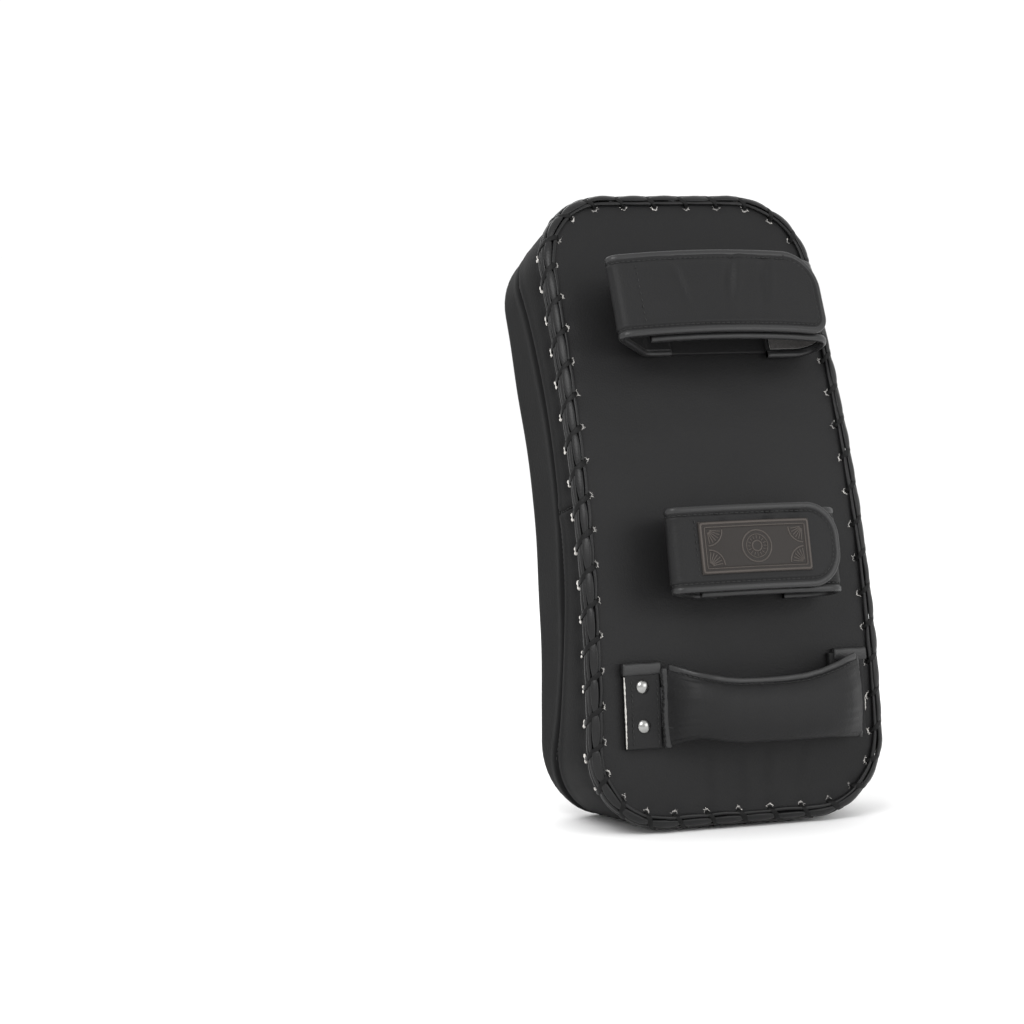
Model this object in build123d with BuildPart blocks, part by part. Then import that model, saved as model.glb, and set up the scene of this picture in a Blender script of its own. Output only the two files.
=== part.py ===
"""A hand-laced, curved Thai pad, standing on its handle end.

Millimetres, +Z up. The strap side faces -Y and the strike side +Y. X runs across the pad.
The pad is laid out along its strap face: s is the length along that face from the handle
end, h the height above it, towards the arm, and depth the distance below it, into the pad.
"""

from build123d import *

import os
from dataclasses import dataclass
from math import atan2, cos, radians, sin

# ---- driving dimensions ---------------------------------------------------------------

width = 200.0  # across the pad, at its handle end
elbow_width = 182.0  # at its elbow end; the side walls are straight between the two
face_y = -75.35  # where the strap face ends, so that the origin is mid-footprint
base_lift = 4.8  # the pad stands on its lacing and on the strike side's lower edge
# the strap face in side view: length, lean at its start and lean at its end (degrees)
runs = [(50.0, 3.45, 3.45), (205.0, 3.45, 21.5), (98.0, 21.5, 26.0), (52.0, 26.0, 26.0)]
length = sum(run[0] for run in runs)
lower_lean, upper_lean = runs[0][1], runs[-1][2]
lower_thickness = 90.0
upper_thickness = 84.0
strike_bend_radius = 430.0
corner_radius = 48.0  # of the outline, seen from the arm side
strike_edge_radius = 11.0
laced_edge_radius = 5.0

leather = 2.2
firm_foam = 14.0  # the layer against the arm
middle_foam = 42.0

cross_seam_s = 0.5 * length  # where the two gussets are sewn together
cross_seam_depth = 35.0
seam_waists = (100.0, 44.0), (300.0, 35.5)  # s and depth of the seam halfway along each gusset
elbow_seam_depth = 62.0

lace_angles = (0.0, 33.0, 65.0, 90.0)  # of the four strands round the edge, from the strap face
lace_half_widths = (1.2, 2.1, 1.2, 1.1)  # between two wraps; a wrap pinches them
lace_pinch = 1.0  # half width of a strand under a wrap
lace_half_thickness = 0.9
lace_bulge = (0.0, 0.8, 0.3, 0.0)  # how far a strand stands up between two wraps
wrap_count = 51
wrap_width = 2.6
wrap_thickness = 1.3
wrap_slant = 5.5  # a wrap's two holes are twice this far apart along the edge
lace_hole_inset = 10.0
lace_hole_radius = 2.5
gap = 0.05  # between laces and the leather they lie on
strand_gap = 0.5  # under a strand, whose straight runs would cut into the rounded corners

strap_leather = 3.0
patch_leather = 2.0
tape = 1.0  # hook tape and loop tape are this thick
tape_gap = 0.3  # between the closed hook and loop tapes
lining = 1.0
binding = 0.65  # how far the edge binding stands out
binding_width = 4.5
arm_space = 21.0  # under a closed strap, at its two sides

handle_s = 74.5
handle_x = 4.0
tab_inner, tab_outer = 58.5, 82.3  # from the handle's middle
tab_length = 52.0
tab_leather = 5.0
rivet_x, rivet_spacing = 70.5, 24.0
rivet_radius, rivet_rise, shank_radius = 4.5, 2.3, 1.7
backing = 2.0
grip_leather = 2.0
welt_rise, welt_thick = 3.0, 2.6
fold_tall = 8.0  # the leather folded over each tab's upper edge
burr_thick = 1.0

hinge_gap = 0.3
badge_x = 1.0
badge_size = (75.0, 32.5)
badge_leather = 1.2

os.makedirs("parts", exist_ok=True)


def save(piece, label):
    """Names a piece and writes it."""
    piece.label = label
    export_step(piece, f"parts/{label}.step")


# ---- the bent strap face ----------------------------------------------------------------


def side_point(s, depth=0.0):
    """Y and Z of a point of the side view, at length s and depth below the strap face."""
    y, z, lean = face_y, base_lift, lower_lean
    start = 0.0
    for index, (run, first, last) in enumerate(runs):
        final = index == len(runs) - 1
        along = s - start if final else min(s - start, run)
        turn = radians(last - first)
        if turn == 0:
            lean = first
            y += along * sin(radians(first))
            z += along * cos(radians(first))
        else:
            lean = first + (last - first) * along / run
            y += run / turn * (cos(radians(first)) - cos(radians(lean)))
            z += run / turn * (sin(radians(lean)) - sin(radians(first)))
        start += run
        if s <= start:
            break
    return y + depth * cos(radians(lean)), z - depth * sin(radians(lean))


def lean_at(s):
    """Lean of the strap face from upright at length s, in degrees."""
    start = 0.0
    for run, first, last in runs:
        if s <= start + run:
            return first + (last - first) * max(s - start, 0.0) / run
        start += run
    return upper_lean


def axes_at(s):
    """Unit vectors along the pad and out of the strap face at length s."""
    lean = radians(lean_at(s))
    return Vector(0, sin(lean), cos(lean)), Vector(0, -cos(lean), sin(lean))


def face_point(x, s, h=0.0):
    """Point over the strap face."""
    return Vector(x, *side_point(s, -h))


def face_plane(s, h=0.0, x=0.0):
    """Plane on the strap face: its x across the pad, its y along the pad, its z outwards."""
    return Plane(origin=face_point(x, s, h), x_dir=(1, 0, 0), z_dir=axes_at(s)[1])


def section_plane(s):
    """Plane across the pad: its x across the pad, its y out of the strap face."""
    return Plane(origin=face_point(0, s), x_dir=(1, 0, 0), z_dir=-axes_at(s)[0])


def side_curve(depth, first_s, last_s):
    """Lines and arcs of the side view, parallel to the strap face."""
    ends = [0.0]
    for run in runs:
        ends.append(ends[-1] + run[0])
    ends[0], ends[-1] = min(first_s, 0.0), max(last_s, length)
    for low, high, run in zip(ends[:-1], ends[1:], runs):
        a, b = max(low, first_s), min(high, last_s)
        if b <= a:
            continue
        if run[1] == run[2]:
            Line(side_point(a, depth), side_point(b, depth))
        else:
            middle = side_point((a + b) / 2, depth)
            ThreePointArc(side_point(a, depth), middle, side_point(b, depth))


def layer(x_range, s_range, depth_range):
    """A sheet that follows the strap face: box-like in x, s and depth."""
    x_low, x_high = x_range
    near, far = depth_range
    first_s, last_s = s_range
    with BuildPart() as sheet:
        with BuildSketch(Plane.YZ.offset((x_low + x_high) / 2)):
            with BuildLine():
                side_curve(near, first_s, last_s)
                side_curve(far, first_s, last_s)
                Line(side_point(first_s, near), side_point(first_s, far))
                Line(side_point(last_s, near), side_point(last_s, far))
            make_face()
        extrude(amount=(x_high - x_low) / 2, both=True)
    return sheet.part


# ---- the pad's outer form -----------------------------------------------------------------

margin = 30.0  # how far cutting shapes run past the pad


def half_width(s):
    """Half of the pad's width at length s."""
    return (width + (elbow_width - width) * s / length) / 2


def side_walls(inset):
    """Block between the two side walls, each moved inwards by inset."""
    foot, head = face_point(0, 0), face_point(0, length)
    chord = head - foot
    low, high = half_width(-margin) - inset, half_width(length + margin) - inset
    with BuildPart() as block:
        with BuildSketch(Plane(foot, x_dir=(1, 0, 0), z_dir=Vector(1, 0, 0).cross(chord))):
            Polygon(
                (-low, -margin),
                (low, -margin),
                (high, chord.length + margin),
                (-high, chord.length + margin),
                align=None,
            )
        extrude(amount=2 * lower_thickness, both=True)
    return block.part


def strike_corner(inset):
    """Where the strike side's lower and upper straight stretches would cross."""
    low_y, low_z = side_point(0, lower_thickness - inset)
    top_y, top_z = side_point(length, upper_thickness - inset)
    low_dy, low_dz = sin(radians(lower_lean)), cos(radians(lower_lean))
    top_dy, top_dz = sin(radians(upper_lean)), cos(radians(upper_lean))
    cross = low_dy * top_dz - low_dz * top_dy
    along = ((top_y - low_y) * top_dz - (top_z - low_z) * top_dy) / cross
    return low_y + along * low_dy, low_z + along * low_dz


def rim(faces):
    """Edges that only one of the faces has."""
    edges = faces.edges()
    every = [edge for face in faces for edge in face.edges()]
    return ShapeList(e for e in edges if sum(e.is_same(other) for other in every) == 1)


def pad_form(inset):
    """The whole pad, with every face moved inwards by inset."""
    low = side_point(inset, lower_thickness - inset)
    top = side_point(length - inset, upper_thickness - inset)
    with BuildPart() as form:
        with BuildSketch(Plane.YZ):
            with BuildLine():
                side_curve(inset, inset, length - inset)
                FilletPolyline(low, strike_corner(inset), top, radius=strike_bend_radius + inset)
                Line(side_point(inset, inset), low)
                Line(side_point(length - inset, inset), top)
            make_face()
        extrude(amount=width / 2, both=True)
        add(side_walls(inset), mode=Mode.INTERSECT)
        for s in (0, length):
            through = Axis((0, 0, 0), axes_at(s)[1])
            fillet(form.edges().filter_by(through, tolerance=1.0), corner_radius - inset)
        strike_side = form.faces().filter_by(
            lambda face: face.normal_at().dot(Vector(0, 1, 0)) > 0.6
        )
        fillet(rim(strike_side), strike_edge_radius - inset)
        strap_side = form.faces().filter_by(
            lambda face: face.normal_at().dot(Vector(0, -1, 0)) > 0.8
        )
        fillet(rim(strap_side), laced_edge_radius - inset)
    return form.part


outer_form = pad_form(0.0)
inner_form = pad_form(leather)
across = (-width / 2 - margin, width / 2 + margin)
whole = (-margin, length + margin)
deep = lower_thickness + margin


# ---- lacing route ---------------------------------------------------------------------------

edge_turn = laced_edge_radius + gap + lace_half_thickness  # from the edge's centre to a lace


def outline(inset):
    """The pad's outline laid flat, x across and y along it, moved inwards by inset."""
    low, high = half_width(0) - inset, half_width(length) - inset
    with BuildSketch() as flat:
        Polygon(
            (-low, inset), (low, inset), (high, length - inset), (-high, length - inset), align=None
        )
        fillet(flat.vertices(), corner_radius - inset)
    return flat.sketch.face().outer_wire()


def edge_plane(route, part):
    """Plane at a part of the way round the route: x inwards over the face, y out of the face."""
    place, along = route @ (part % 1.0), route % (part % 1.0)
    inwards = Vector(-along.Y, along.X)
    if inwards.dot(Vector(place.X, place.Y - length / 2)) > 0:
        inwards = -inwards
    up, out = axes_at(place.Y)
    inwards = Vector(inwards.X, 0, 0) + up * inwards.Y
    return Plane(face_point(place.X, place.Y), x_dir=inwards, z_dir=inwards.cross(out))


def faceted_ring(sections):
    """Solid through a closed row of polygons, with a flat facet between each three corners."""
    faces = []
    for here, there in zip(sections, sections[1:] + sections[:1]):
        for index in range(len(here)):
            a, b = here[index - 1], here[index]
            c, d = there[index], there[index - 1]
            faces += [Face(Wire.make_polygon(corners)) for corners in ((a, b, c), (a, c, d))]
    return Solid(Shell(faces))


edge_route = outline(0.0)


def lace_strand(angle, half_wide, bulge):
    """One strand: broad between two wraps, pinched under each."""
    sections = []
    for step in range(2 * wrap_count):
        plane = edge_plane(edge_route, (step + 1) / (2 * wrap_count))
        between = step % 2 == 1
        wide = half_wide if between else lace_pinch
        turn = radians(angle if between else 45 + 0.85 * (angle - 45))
        over = bulge if between else 0
        near = laced_edge_radius + strand_gap + over
        far = laced_edge_radius + gap + over + 2 * lace_half_thickness
        corners = [(near, -0.7 * wide), (near, 0.7 * wide), (far, wide), (far, -wide)]
        places = []
        for reach, aside in corners:
            inset = laced_edge_radius - reach * sin(turn) + aside * cos(turn)
            h = reach * cos(turn) + aside * sin(turn) - laced_edge_radius
            places.append(plane.from_local_coords((inset, h, 0)))
        sections.append(places)
    return faceted_ring(sections)


with BuildPart() as lace_strands:
    for strand in zip(lace_angles, lace_half_widths, lace_bulge):
        add(lace_strand(*strand))
save(lace_strands.part, "lace_strands")

with BuildPart() as punch:  # in the frame of an edge plane, like the wrap below
    face_hole = Plane((lace_hole_inset, 1, -wrap_slant), z_dir=(0, -1, 0))
    wall_hole = Plane((-1, -lace_hole_inset, wrap_slant), z_dir=(1, 0, 0))
    with BuildSketch(face_hole, wall_hole):
        RegularPolygon(lace_hole_radius, 8)
    extrude(amount=1.5 + leather)

# a wrap crosses the rolled edge at a slant: its plane turns about the line that halves the edge
reach_across = lace_hole_inset / 2**0.5
slant = atan2(wrap_slant, reach_across)
wrap_over = 3.1  # how far the wrap's middle lies over the strap face, and out from the wall
halving = Vector(-1, 1, 0).normalized()
slanting = Vector(1, 1, 0).normalized() * cos(slant) - Vector(0, 0, 1) * sin(slant)
wrap_plane = Plane(
    (laced_edge_radius, -laced_edge_radius, 0), x_dir=slanting, z_dir=slanting.cross(halving)
)


def slanted(inset, h):
    """Coordinates in the wrap's plane of a place beside the edge."""
    aside, up = inset - laced_edge_radius, h + laced_edge_radius
    return (aside + up) / 2**0.5 / cos(slant), (up - aside) / 2**0.5


with BuildPart() as wrap:
    with BuildSketch(wrap_plane):
        with BuildLine():
            Polyline(
                slanted(lace_hole_inset + 0.1, -0.9),
                slanted(lace_hole_inset - 1.6, wrap_over),
                slanted(1.2, wrap_over),
                slanted(-wrap_over, -1.2),
                slanted(-wrap_over, 1.6 - lace_hole_inset),
                slanted(0.9, -lace_hole_inset - 0.1),
            )
            offset(amount=wrap_thickness / 2, kind=Kind.INTERSECTION)
        make_face()
    extrude(amount=wrap_width / 2, both=True)

wrap_places = [
    edge_plane(edge_route, (index + 0.5) / wrap_count).location for index in range(wrap_count)
]
with BuildPart() as lace_wraps:
    with Locations(wrap_places):
        add(wrap.part)
save(lace_wraps.part, "lace_wraps")

with BuildPart() as lace_holes:
    with Locations(wrap_places):
        add(punch.part)


# ---- cover: back panel, two gussets, strike panel ----------------------------------------------


def gusset_zone(first_s, last_s, ends, waist):
    """Side-view region between the arm side and one arc of the strike seam."""
    low_end, high_end = ends
    with BuildPart() as zone:
        with BuildSketch(Plane.YZ):
            with BuildLine():
                side_curve(-margin, first_s, last_s)
                ThreePointArc(low_end, side_point(*waist), high_end)
                Polyline(side_point(first_s, -margin), side_point(first_s, 10), low_end)
                Polyline(side_point(last_s, -margin), side_point(last_s, 10), high_end)
            make_face()
        extrude(amount=width, both=True)
    return zone.part


cross_seam = side_point(cross_seam_s, cross_seam_depth)
base_seam = side_point(-1.0, lower_thickness - strike_edge_radius)
elbow_seam = side_point(length + 1.0, elbow_seam_depth)
lower_zone = gusset_zone(-1.0, cross_seam_s, (base_seam, cross_seam), seam_waists[0])
upper_zone = gusset_zone(cross_seam_s, length + 1.0, (cross_seam, elbow_seam), seam_waists[1])
arm_side = layer(across, whole, (-margin, leather))

with BuildPart() as cover:
    add(outer_form)
    add(inner_form, mode=Mode.SUBTRACT)
    add(lace_holes.part, mode=Mode.SUBTRACT)

with BuildPart() as rivet_holes:
    for x in (handle_x - rivet_x, handle_x + rivet_x):
        for s in (handle_s - rivet_spacing / 2, handle_s + rivet_spacing / 2):
            with Locations(face_plane(s, 0, x)):
                Cylinder(shank_radius, 4 * tab_leather)

with BuildPart() as back_panel:
    add(cover.part)
    add(arm_side, mode=Mode.INTERSECT)
    add(rivet_holes.part, mode=Mode.SUBTRACT)
save(back_panel.part, "back_panel")

with BuildPart() as lower_gusset:
    add(cover.part)
    add(arm_side, mode=Mode.SUBTRACT)
    add(lower_zone, mode=Mode.INTERSECT)
save(lower_gusset.part, "lower_gusset")

with BuildPart() as upper_gusset:
    add(cover.part)
    add(arm_side, mode=Mode.SUBTRACT)
    add(upper_zone, mode=Mode.INTERSECT)
save(upper_gusset.part, "upper_gusset")

with BuildPart() as strike_panel:
    add(cover.part)
    add(lower_zone, mode=Mode.SUBTRACT)
    add(upper_zone, mode=Mode.SUBTRACT)
save(strike_panel.part, "strike_panel")


# ---- handle: two riveted tabs, a webbing strap from tab to tab, a padded grip round it --------

tab_s = (handle_s - tab_length / 2, handle_s + tab_length / 2)
tab_ranges = [
    (handle_x - tab_outer, handle_x - tab_inner),
    (handle_x + tab_inner, handle_x + tab_outer),
]
# half of the grip, from its middle outwards: distance across, height of its centre line,
# droop, lean of its centre line (degrees), how tall and how thick it is
grip_stations = [
    (0.0, 24.5, 9.5, 0.0, 33.0, 20.0),
    (25.0, 24.3, 8.3, -2.0, 35.0, 20.0),
    (42.0, 21.5, 5.0, -22.0, 41.0, 17.5),
    (51.5, 14.5, 2.5, -52.0, 46.0, 11.0),
    (56.0, 7.0, 1.5, -58.0, 47.0, 7.0),
    (58.5, 3.0, 1.0, 0.0, 46.0, 5.4),
]
webbing_tall, webbing_thick = 24.0, 1.4


def grip_loft(shape):
    """Lofts the shape along the whole grip; shape gives the section at one station."""
    left = [(-x, h, drop, -lean, tall, thick) for x, h, drop, lean, tall, thick in grip_stations]
    with BuildPart() as grip:
        for x, h, drop, lean, tall, thick in left[:0:-1] + grip_stations:
            up, out = axes_at(handle_s)
            along = Vector(cos(radians(lean)), 0, 0) + out * sin(radians(lean))
            centre = face_point(handle_x + x, handle_s, h) - up * drop
            with BuildSketch(Plane(centre, x_dir=up, z_dir=along)):
                shape(tall, thick)
        loft(ruled=True)
    return grip.part


grip_outside = grip_loft(lambda tall, thick: Ellipse(tall / 2, thick / 2))
grip_inside = grip_loft(
    lambda tall, thick: Ellipse(tall / 2 - grip_leather, thick / 2 - 0.6 * grip_leather)
)
webbing_run = grip_loft(lambda tall, thick: Rectangle(webbing_tall, webbing_thick))

with BuildPart() as handle_grip:
    add(grip_outside)
    add(grip_inside, mode=Mode.SUBTRACT)
save(handle_grip.part, "handle_grip")

with BuildPart() as handle_padding:
    add(grip_inside)
    add(webbing_run, mode=Mode.SUBTRACT)
save(handle_padding.part, "handle_padding")


def welt_section(tall, thick):
    """The sewn edge of the grip's leather, along the side that faces the wrist strap."""
    with Locations((tall / 2 + welt_rise / 2 - 1, 0)):
        Rectangle(welt_rise + 2, welt_thick)


with BuildPart() as handle_welt:
    add(grip_loft(welt_section))
    add(grip_outside, mode=Mode.SUBTRACT)
save(handle_welt.part, "handle_welt")

webbing_s = (handle_s - webbing_tall / 2, handle_s + webbing_tall / 2)
webbing_depth = (-3.0 - webbing_thick / 2, -3.0 + webbing_thick / 2)
webbing_ends = [
    (handle_x - tab_outer + 3, handle_x - tab_inner),
    (handle_x + tab_inner, handle_x + tab_outer - 3),
]
with BuildPart() as handle_webbing:
    add(webbing_run)
    for ends in webbing_ends:
        add(layer(ends, webbing_s, webbing_depth))
    add(rivet_holes.part, mode=Mode.SUBTRACT)
save(handle_webbing.part, "handle_webbing")

for name, x_range in zip(("left", "right"), tab_ranges):
    with BuildPart() as tab:
        add(layer(x_range, tab_s, (-tab_leather, 0)))
        add(handle_webbing.part, mode=Mode.SUBTRACT)
        add(rivet_holes.part, mode=Mode.SUBTRACT)
    save(tab.part, f"handle_tab_{name}")

    with BuildPart() as backing_patch:
        add(layer(x_range, tab_s, (leather, leather + backing)))
        add(rivet_holes.part, mode=Mode.SUBTRACT)
    save(backing_patch.part, f"backing_patch_{name}")

with BuildPart() as handle_tab_bindings:
    fold_s = (tab_s[1] - fold_tall + 1, tab_s[1] + 1)
    for x_range in tab_ranges:
        outer_edge = 1 if x_range[0] > 0 else -1
        fold_x = (min(x_range[0], x_range[0] + outer_edge), max(x_range[1], x_range[1] + outer_edge))
        add(layer(fold_x, fold_s, (-tab_leather - 1, 0)))
    for x_range in tab_ranges:
        add(layer(x_range, tab_s, (-tab_leather, 0)), mode=Mode.SUBTRACT)
    add(grip_outside, mode=Mode.SUBTRACT)
    add(handle_welt.part, mode=Mode.SUBTRACT)
save(handle_tab_bindings.part, "handle_tab_bindings")

rivet_planes = [
    face_plane(s, 0, x)
    for x in (handle_x - rivet_x, handle_x + rivet_x)
    for s in (handle_s - rivet_spacing / 2, handle_s + rivet_spacing / 2)
]
burr_h = -leather - backing - gap
with BuildPart() as rivet:  # its shank along z, the strap face at z = 0
    with BuildSketch(Plane.XZ):
        with BuildLine():
            Polyline((rivet_radius, tab_leather), (0, tab_leather), (0, tab_leather + rivet_rise))
            Polyline(
                (0, tab_leather + rivet_rise),
                (0.45 * rivet_radius, tab_leather + 0.9 * rivet_rise),
                (0.8 * rivet_radius, tab_leather + 0.6 * rivet_rise),
                (rivet_radius, tab_leather),
            )
        make_face()
    revolve(axis=Axis.Z)
    with Locations((0, 0, tab_leather)):
        shank = tab_leather - burr_h + burr_thick
        Cylinder(shank_radius, shank, align=(Align.CENTER, Align.CENTER, Align.MAX))
with BuildPart() as burr:
    with Locations((0, 0, burr_h)):
        Cylinder(rivet_radius, burr_thick, align=(Align.CENTER, Align.CENTER, Align.MAX))
        Cylinder(shank_radius, 3 * burr_thick, mode=Mode.SUBTRACT)

with BuildPart() as handle_rivets:
    with Locations(rivet_planes):
        add(rivet.part)
save(handle_rivets.part, "handle_rivets")

with BuildPart() as rivet_burrs:
    with Locations(rivet_planes):
        add(burr.part)
save(rivet_burrs.part, "rivet_burrs")


# ---- foam: three glued layers that fill the cover ----------------------------------------------

with BuildPart() as foam_firm:
    add(inner_form)
    add(layer(across, whole, (0, firm_foam)), mode=Mode.INTERSECT)
    for x_range in tab_ranges:
        add(layer(x_range, tab_s, (0, leather + backing)), mode=Mode.SUBTRACT)
    with Locations(rivet_planes):
        well = burr_thick + 0.2 - burr_h
        Cylinder(rivet_radius + 0.2, 2 * well, mode=Mode.SUBTRACT)
save(foam_firm.part, "foam_firm")

with BuildPart() as foam_middle:
    add(inner_form)
    add(layer(across, whole, (firm_foam, firm_foam + middle_foam)), mode=Mode.INTERSECT)
save(foam_middle.part, "foam_middle")

with BuildPart() as foam_strike:
    add(inner_form)
    add(layer(across, whole, (firm_foam + middle_foam, deep)), mode=Mode.INTERSECT)
save(foam_strike.part, "foam_strike")


# ---- arm straps: an under strap sewn on at one side, and a flap that closes over it --------------


@dataclass
class ArmStrap:
    """One strap's places: x across the pad, s along it."""

    name: str
    s: float
    width: float
    root_foot: float  # where the flap's root ends on the patch
    root_side: float  # outside of the flap's root
    hinge: float  # where the flap starts
    tip: float
    under_tip: float
    under_side: float
    under_foot: float
    tip_radius: float
    rise: float  # how far the closed strap bows outwards

    def crown(self, x, level):
        """Height at x of a surface that lies at this level at the strap's two sides."""
        half = (self.under_side - self.root_side) / 2
        radius = (half**2 + self.rise**2) / (2 * self.rise)
        offset = x - (self.under_side + self.root_side) / 2
        return level + (radius**2 - offset**2) ** 0.5 - radius + self.rise

    def slope(self, x):
        """Rise of the crown per millimetre across, at x."""
        return (self.crown(x + 0.01, 0) - self.crown(x - 0.01, 0)) / 0.02


foot_top = patch_leather + strap_leather
under_level = foot_top + arm_space  # the under strap's surface towards the arm
loop_level = under_level + strap_leather
hook_level = loop_level + tape + tape_gap
flap_level = hook_level + tape
hinge_level = flap_level + strap_leather + binding

forearm = ArmStrap("forearm", 321.0, 54.0, -28.0, -73.0, -59.0, 72.0, -34.0, 80.0, 42.0, 24.0, 9.0)
wrist = ArmStrap("wrist", 164.5, 52.0, -20.0, -60.0, -47.0, 57.0, -26.0, 66.0, 30.0, 22.0, 5.0)


def crown_arc(strap, first_x, last_x, level):
    """Arc of the strap's crown between two places."""
    xs = (first_x, (first_x + last_x) / 2, last_x)
    return ThreePointArc(*[(x, strap.crown(x, level)) for x in xs])


def crown_sheet(strap, x_range, levels, wide):
    """A sheet that follows the crown."""
    x_low, x_high = x_range
    low, high = levels
    with BuildPart() as sheet:
        with BuildSketch(section_plane(strap.s)):
            with BuildLine():
                crown_arc(strap, x_low, x_high, low)
                crown_arc(strap, x_low, x_high, high)
                Line((x_low, strap.crown(x_low, low)), (x_low, strap.crown(x_low, high)))
                Line((x_high, strap.crown(x_high, low)), (x_high, strap.crown(x_high, high)))
            make_face()
        extrude(amount=wide / 2, both=True)
    return sheet.part


def folded_strip(strap, route, shift, thick, wide):
    """A folded strap piece: foot, side and crown, all tangent.

    Its surface towards the arm is the route's, moved towards the arm by shift.
    """
    foot, side, turn_x, end_x, level, (foot_radius, top_radius) = route
    outwards = 1 if side > foot else -1
    side -= outwards * shift
    level -= shift
    side_top = side + outwards  # the side leans outwards a little
    top = strap.crown(turn_x, level) + strap.slope(turn_x) * (side_top - turn_x)
    with BuildPart() as strip:
        with BuildSketch(section_plane(strap.s)):
            with BuildLine():
                FilletPolyline(
                    (foot, foot_top + shift),
                    (side, foot_top + shift),
                    (side_top, top),
                    (turn_x, strap.crown(turn_x, level)),
                    radius=[foot_radius - shift, top_radius - shift],
                )
                if end_x != turn_x:
                    crown_arc(strap, turn_x, end_x, level)
                offset(amount=thick, side=Side.RIGHT if outwards > 0 else Side.LEFT)
            make_face()
        extrude(amount=wide / 2, both=True)
    return strip.part


def folded_bindings(strap, route, piece, patch):
    """The bindings of a folded piece's two long edges."""
    thick = strap_leather + 2 * binding
    with BuildPart() as bindings:
        add(folded_strip(strap, route, binding, thick, strap.width + 2 * binding))
        with Locations(section_plane(strap.s)):
            Box(2 * width, 2 * width, strap.width - 2 * binding_width, mode=Mode.SUBTRACT)
        add(piece, mode=Mode.SUBTRACT)
        add(patch, mode=Mode.SUBTRACT)
    return bindings.part


def flap_outline(strap, grow):
    """Block with the flap's outline, its long edges and its tip moved outwards by grow."""
    start, end = strap.hinge - margin, strap.tip + grow
    with BuildPart() as block:
        with BuildSketch(face_plane(strap.s)):
            with Locations(((start + end) / 2, 0)):
                Rectangle(end - start, strap.width + 2 * grow)
        extrude(amount=2 * hinge_level)
        uprights = block.edges().filter_by(Axis((0, 0, 0), axes_at(strap.s)[1]))
        fillet(uprights.group_by(Axis.X)[-1], strap.tip_radius + grow)
    return block.part


def arm_strap(strap):
    """Makes and saves every piece of one strap."""
    plane = section_plane(strap.s)
    with BuildPart() as patch:
        with BuildSketch(plane):
            ends = (strap.root_side + 7, strap.under_side - 7)
            with Locations(((ends[0] + ends[1]) / 2, 0)):
                Rectangle(ends[1] - ends[0], 2 * patch_leather)
        extrude(amount=strap.width / 2 + 2, both=True)
        add(layer(across, whole, (0, deep)), mode=Mode.SUBTRACT)
    save(patch.part, f"{strap.name}_base_patch")

    root_route = (
        strap.root_foot,
        strap.root_side + strap_leather,
        strap.hinge,
        strap.hinge,
        flap_level,
        (9.0, 6.5),
    )
    root = folded_strip(strap, root_route, 0, strap_leather, strap.width)
    save(root, f"{strap.name}_flap_root")

    under_turn = strap.under_side - strap_leather - 16
    under_route = (
        strap.under_foot,
        strap.under_side - strap_leather,
        under_turn,
        strap.under_tip,
        under_level,
        (11.0, 9.0),
    )
    under = folded_strip(strap, under_route, 0, strap_leather, strap.width)
    save(under, f"{strap.name}_under_strap")

    with BuildPart() as strap_bindings:
        add(folded_bindings(strap, root_route, root, patch.part))
        add(folded_bindings(strap, under_route, under, patch.part))
    save(strap_bindings.part, f"{strap.name}_strap_bindings")

    with BuildPart() as strap_lining:
        lined = strap.width - 2 * binding_width
        add(folded_strip(strap, under_route, lining, lining, lined))
        add(under, mode=Mode.SUBTRACT)
    save(strap_lining.part, f"{strap.name}_lining")

    loop_range = (strap.under_tip + 2, strap.under_side - 24)
    tape_width = strap.width - 12
    loop_tape = crown_sheet(strap, loop_range, (loop_level + gap, loop_level + tape), tape_width)
    save(loop_tape, f"{strap.name}_loop_tape")

    hook_range = (strap.tip - 58, strap.tip - 9)
    with BuildPart() as hook_tape:
        add(crown_sheet(strap, hook_range, (hook_level, flap_level), tape_width))
        add(flap_outline(strap, -binding_width - binding), mode=Mode.INTERSECT)
    save(hook_tape.part, f"{strap.name}_hook_tape")

    flap_range = (strap.hinge + hinge_gap, strap.under_side)
    flap_levels = (flap_level, flap_level + strap_leather)
    with BuildPart() as flap:
        add(crown_sheet(strap, flap_range, flap_levels, strap.width + margin))
        add(flap_outline(strap, 0), mode=Mode.INTERSECT)
    save(flap.part, f"{strap.name}_flap")

    edge_levels = (flap_level - binding, flap_level + strap_leather + binding)
    with BuildPart() as flap_binding:
        add(crown_sheet(strap, flap_range, edge_levels, strap.width + margin))
        add(flap_outline(strap, binding), mode=Mode.INTERSECT)
        add(flap_outline(strap, -binding_width), mode=Mode.SUBTRACT)
        add(flap.part, mode=Mode.SUBTRACT)
    save(flap_binding.part, f"{strap.name}_flap_binding")


arm_strap(forearm)
arm_strap(wrist)

with BuildPart() as wrist_badge:
    badge_range = (badge_x - badge_size[0] / 2, badge_x + badge_size[0] / 2)
    flap_top = flap_level + strap_leather
    add(crown_sheet(wrist, badge_range, (flap_top, flap_top + badge_leather), badge_size[1]))
    with BuildSketch(face_plane(wrist.s, flap_top + wrist.rise + badge_leather - 0.5, badge_x)):
        Rectangle(badge_size[0] - 4, badge_size[1] - 4)
        Rectangle(badge_size[0] - 6, badge_size[1] - 6, mode=Mode.SUBTRACT)
    extrude(amount=10, mode=Mode.SUBTRACT)
save(wrist_badge.part, "wrist_badge")
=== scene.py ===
# %% [markdown]
# A hand-laced Thai pad, dressed in its real leathers.
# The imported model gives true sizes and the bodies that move. This lesson gives each piece the look of
# the real one: matte leather over foam, an edge drawn together with leather lacing, two bound straps
# that close with hook and loop, and a padded grip held by rivets. Everything is in metres.

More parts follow.
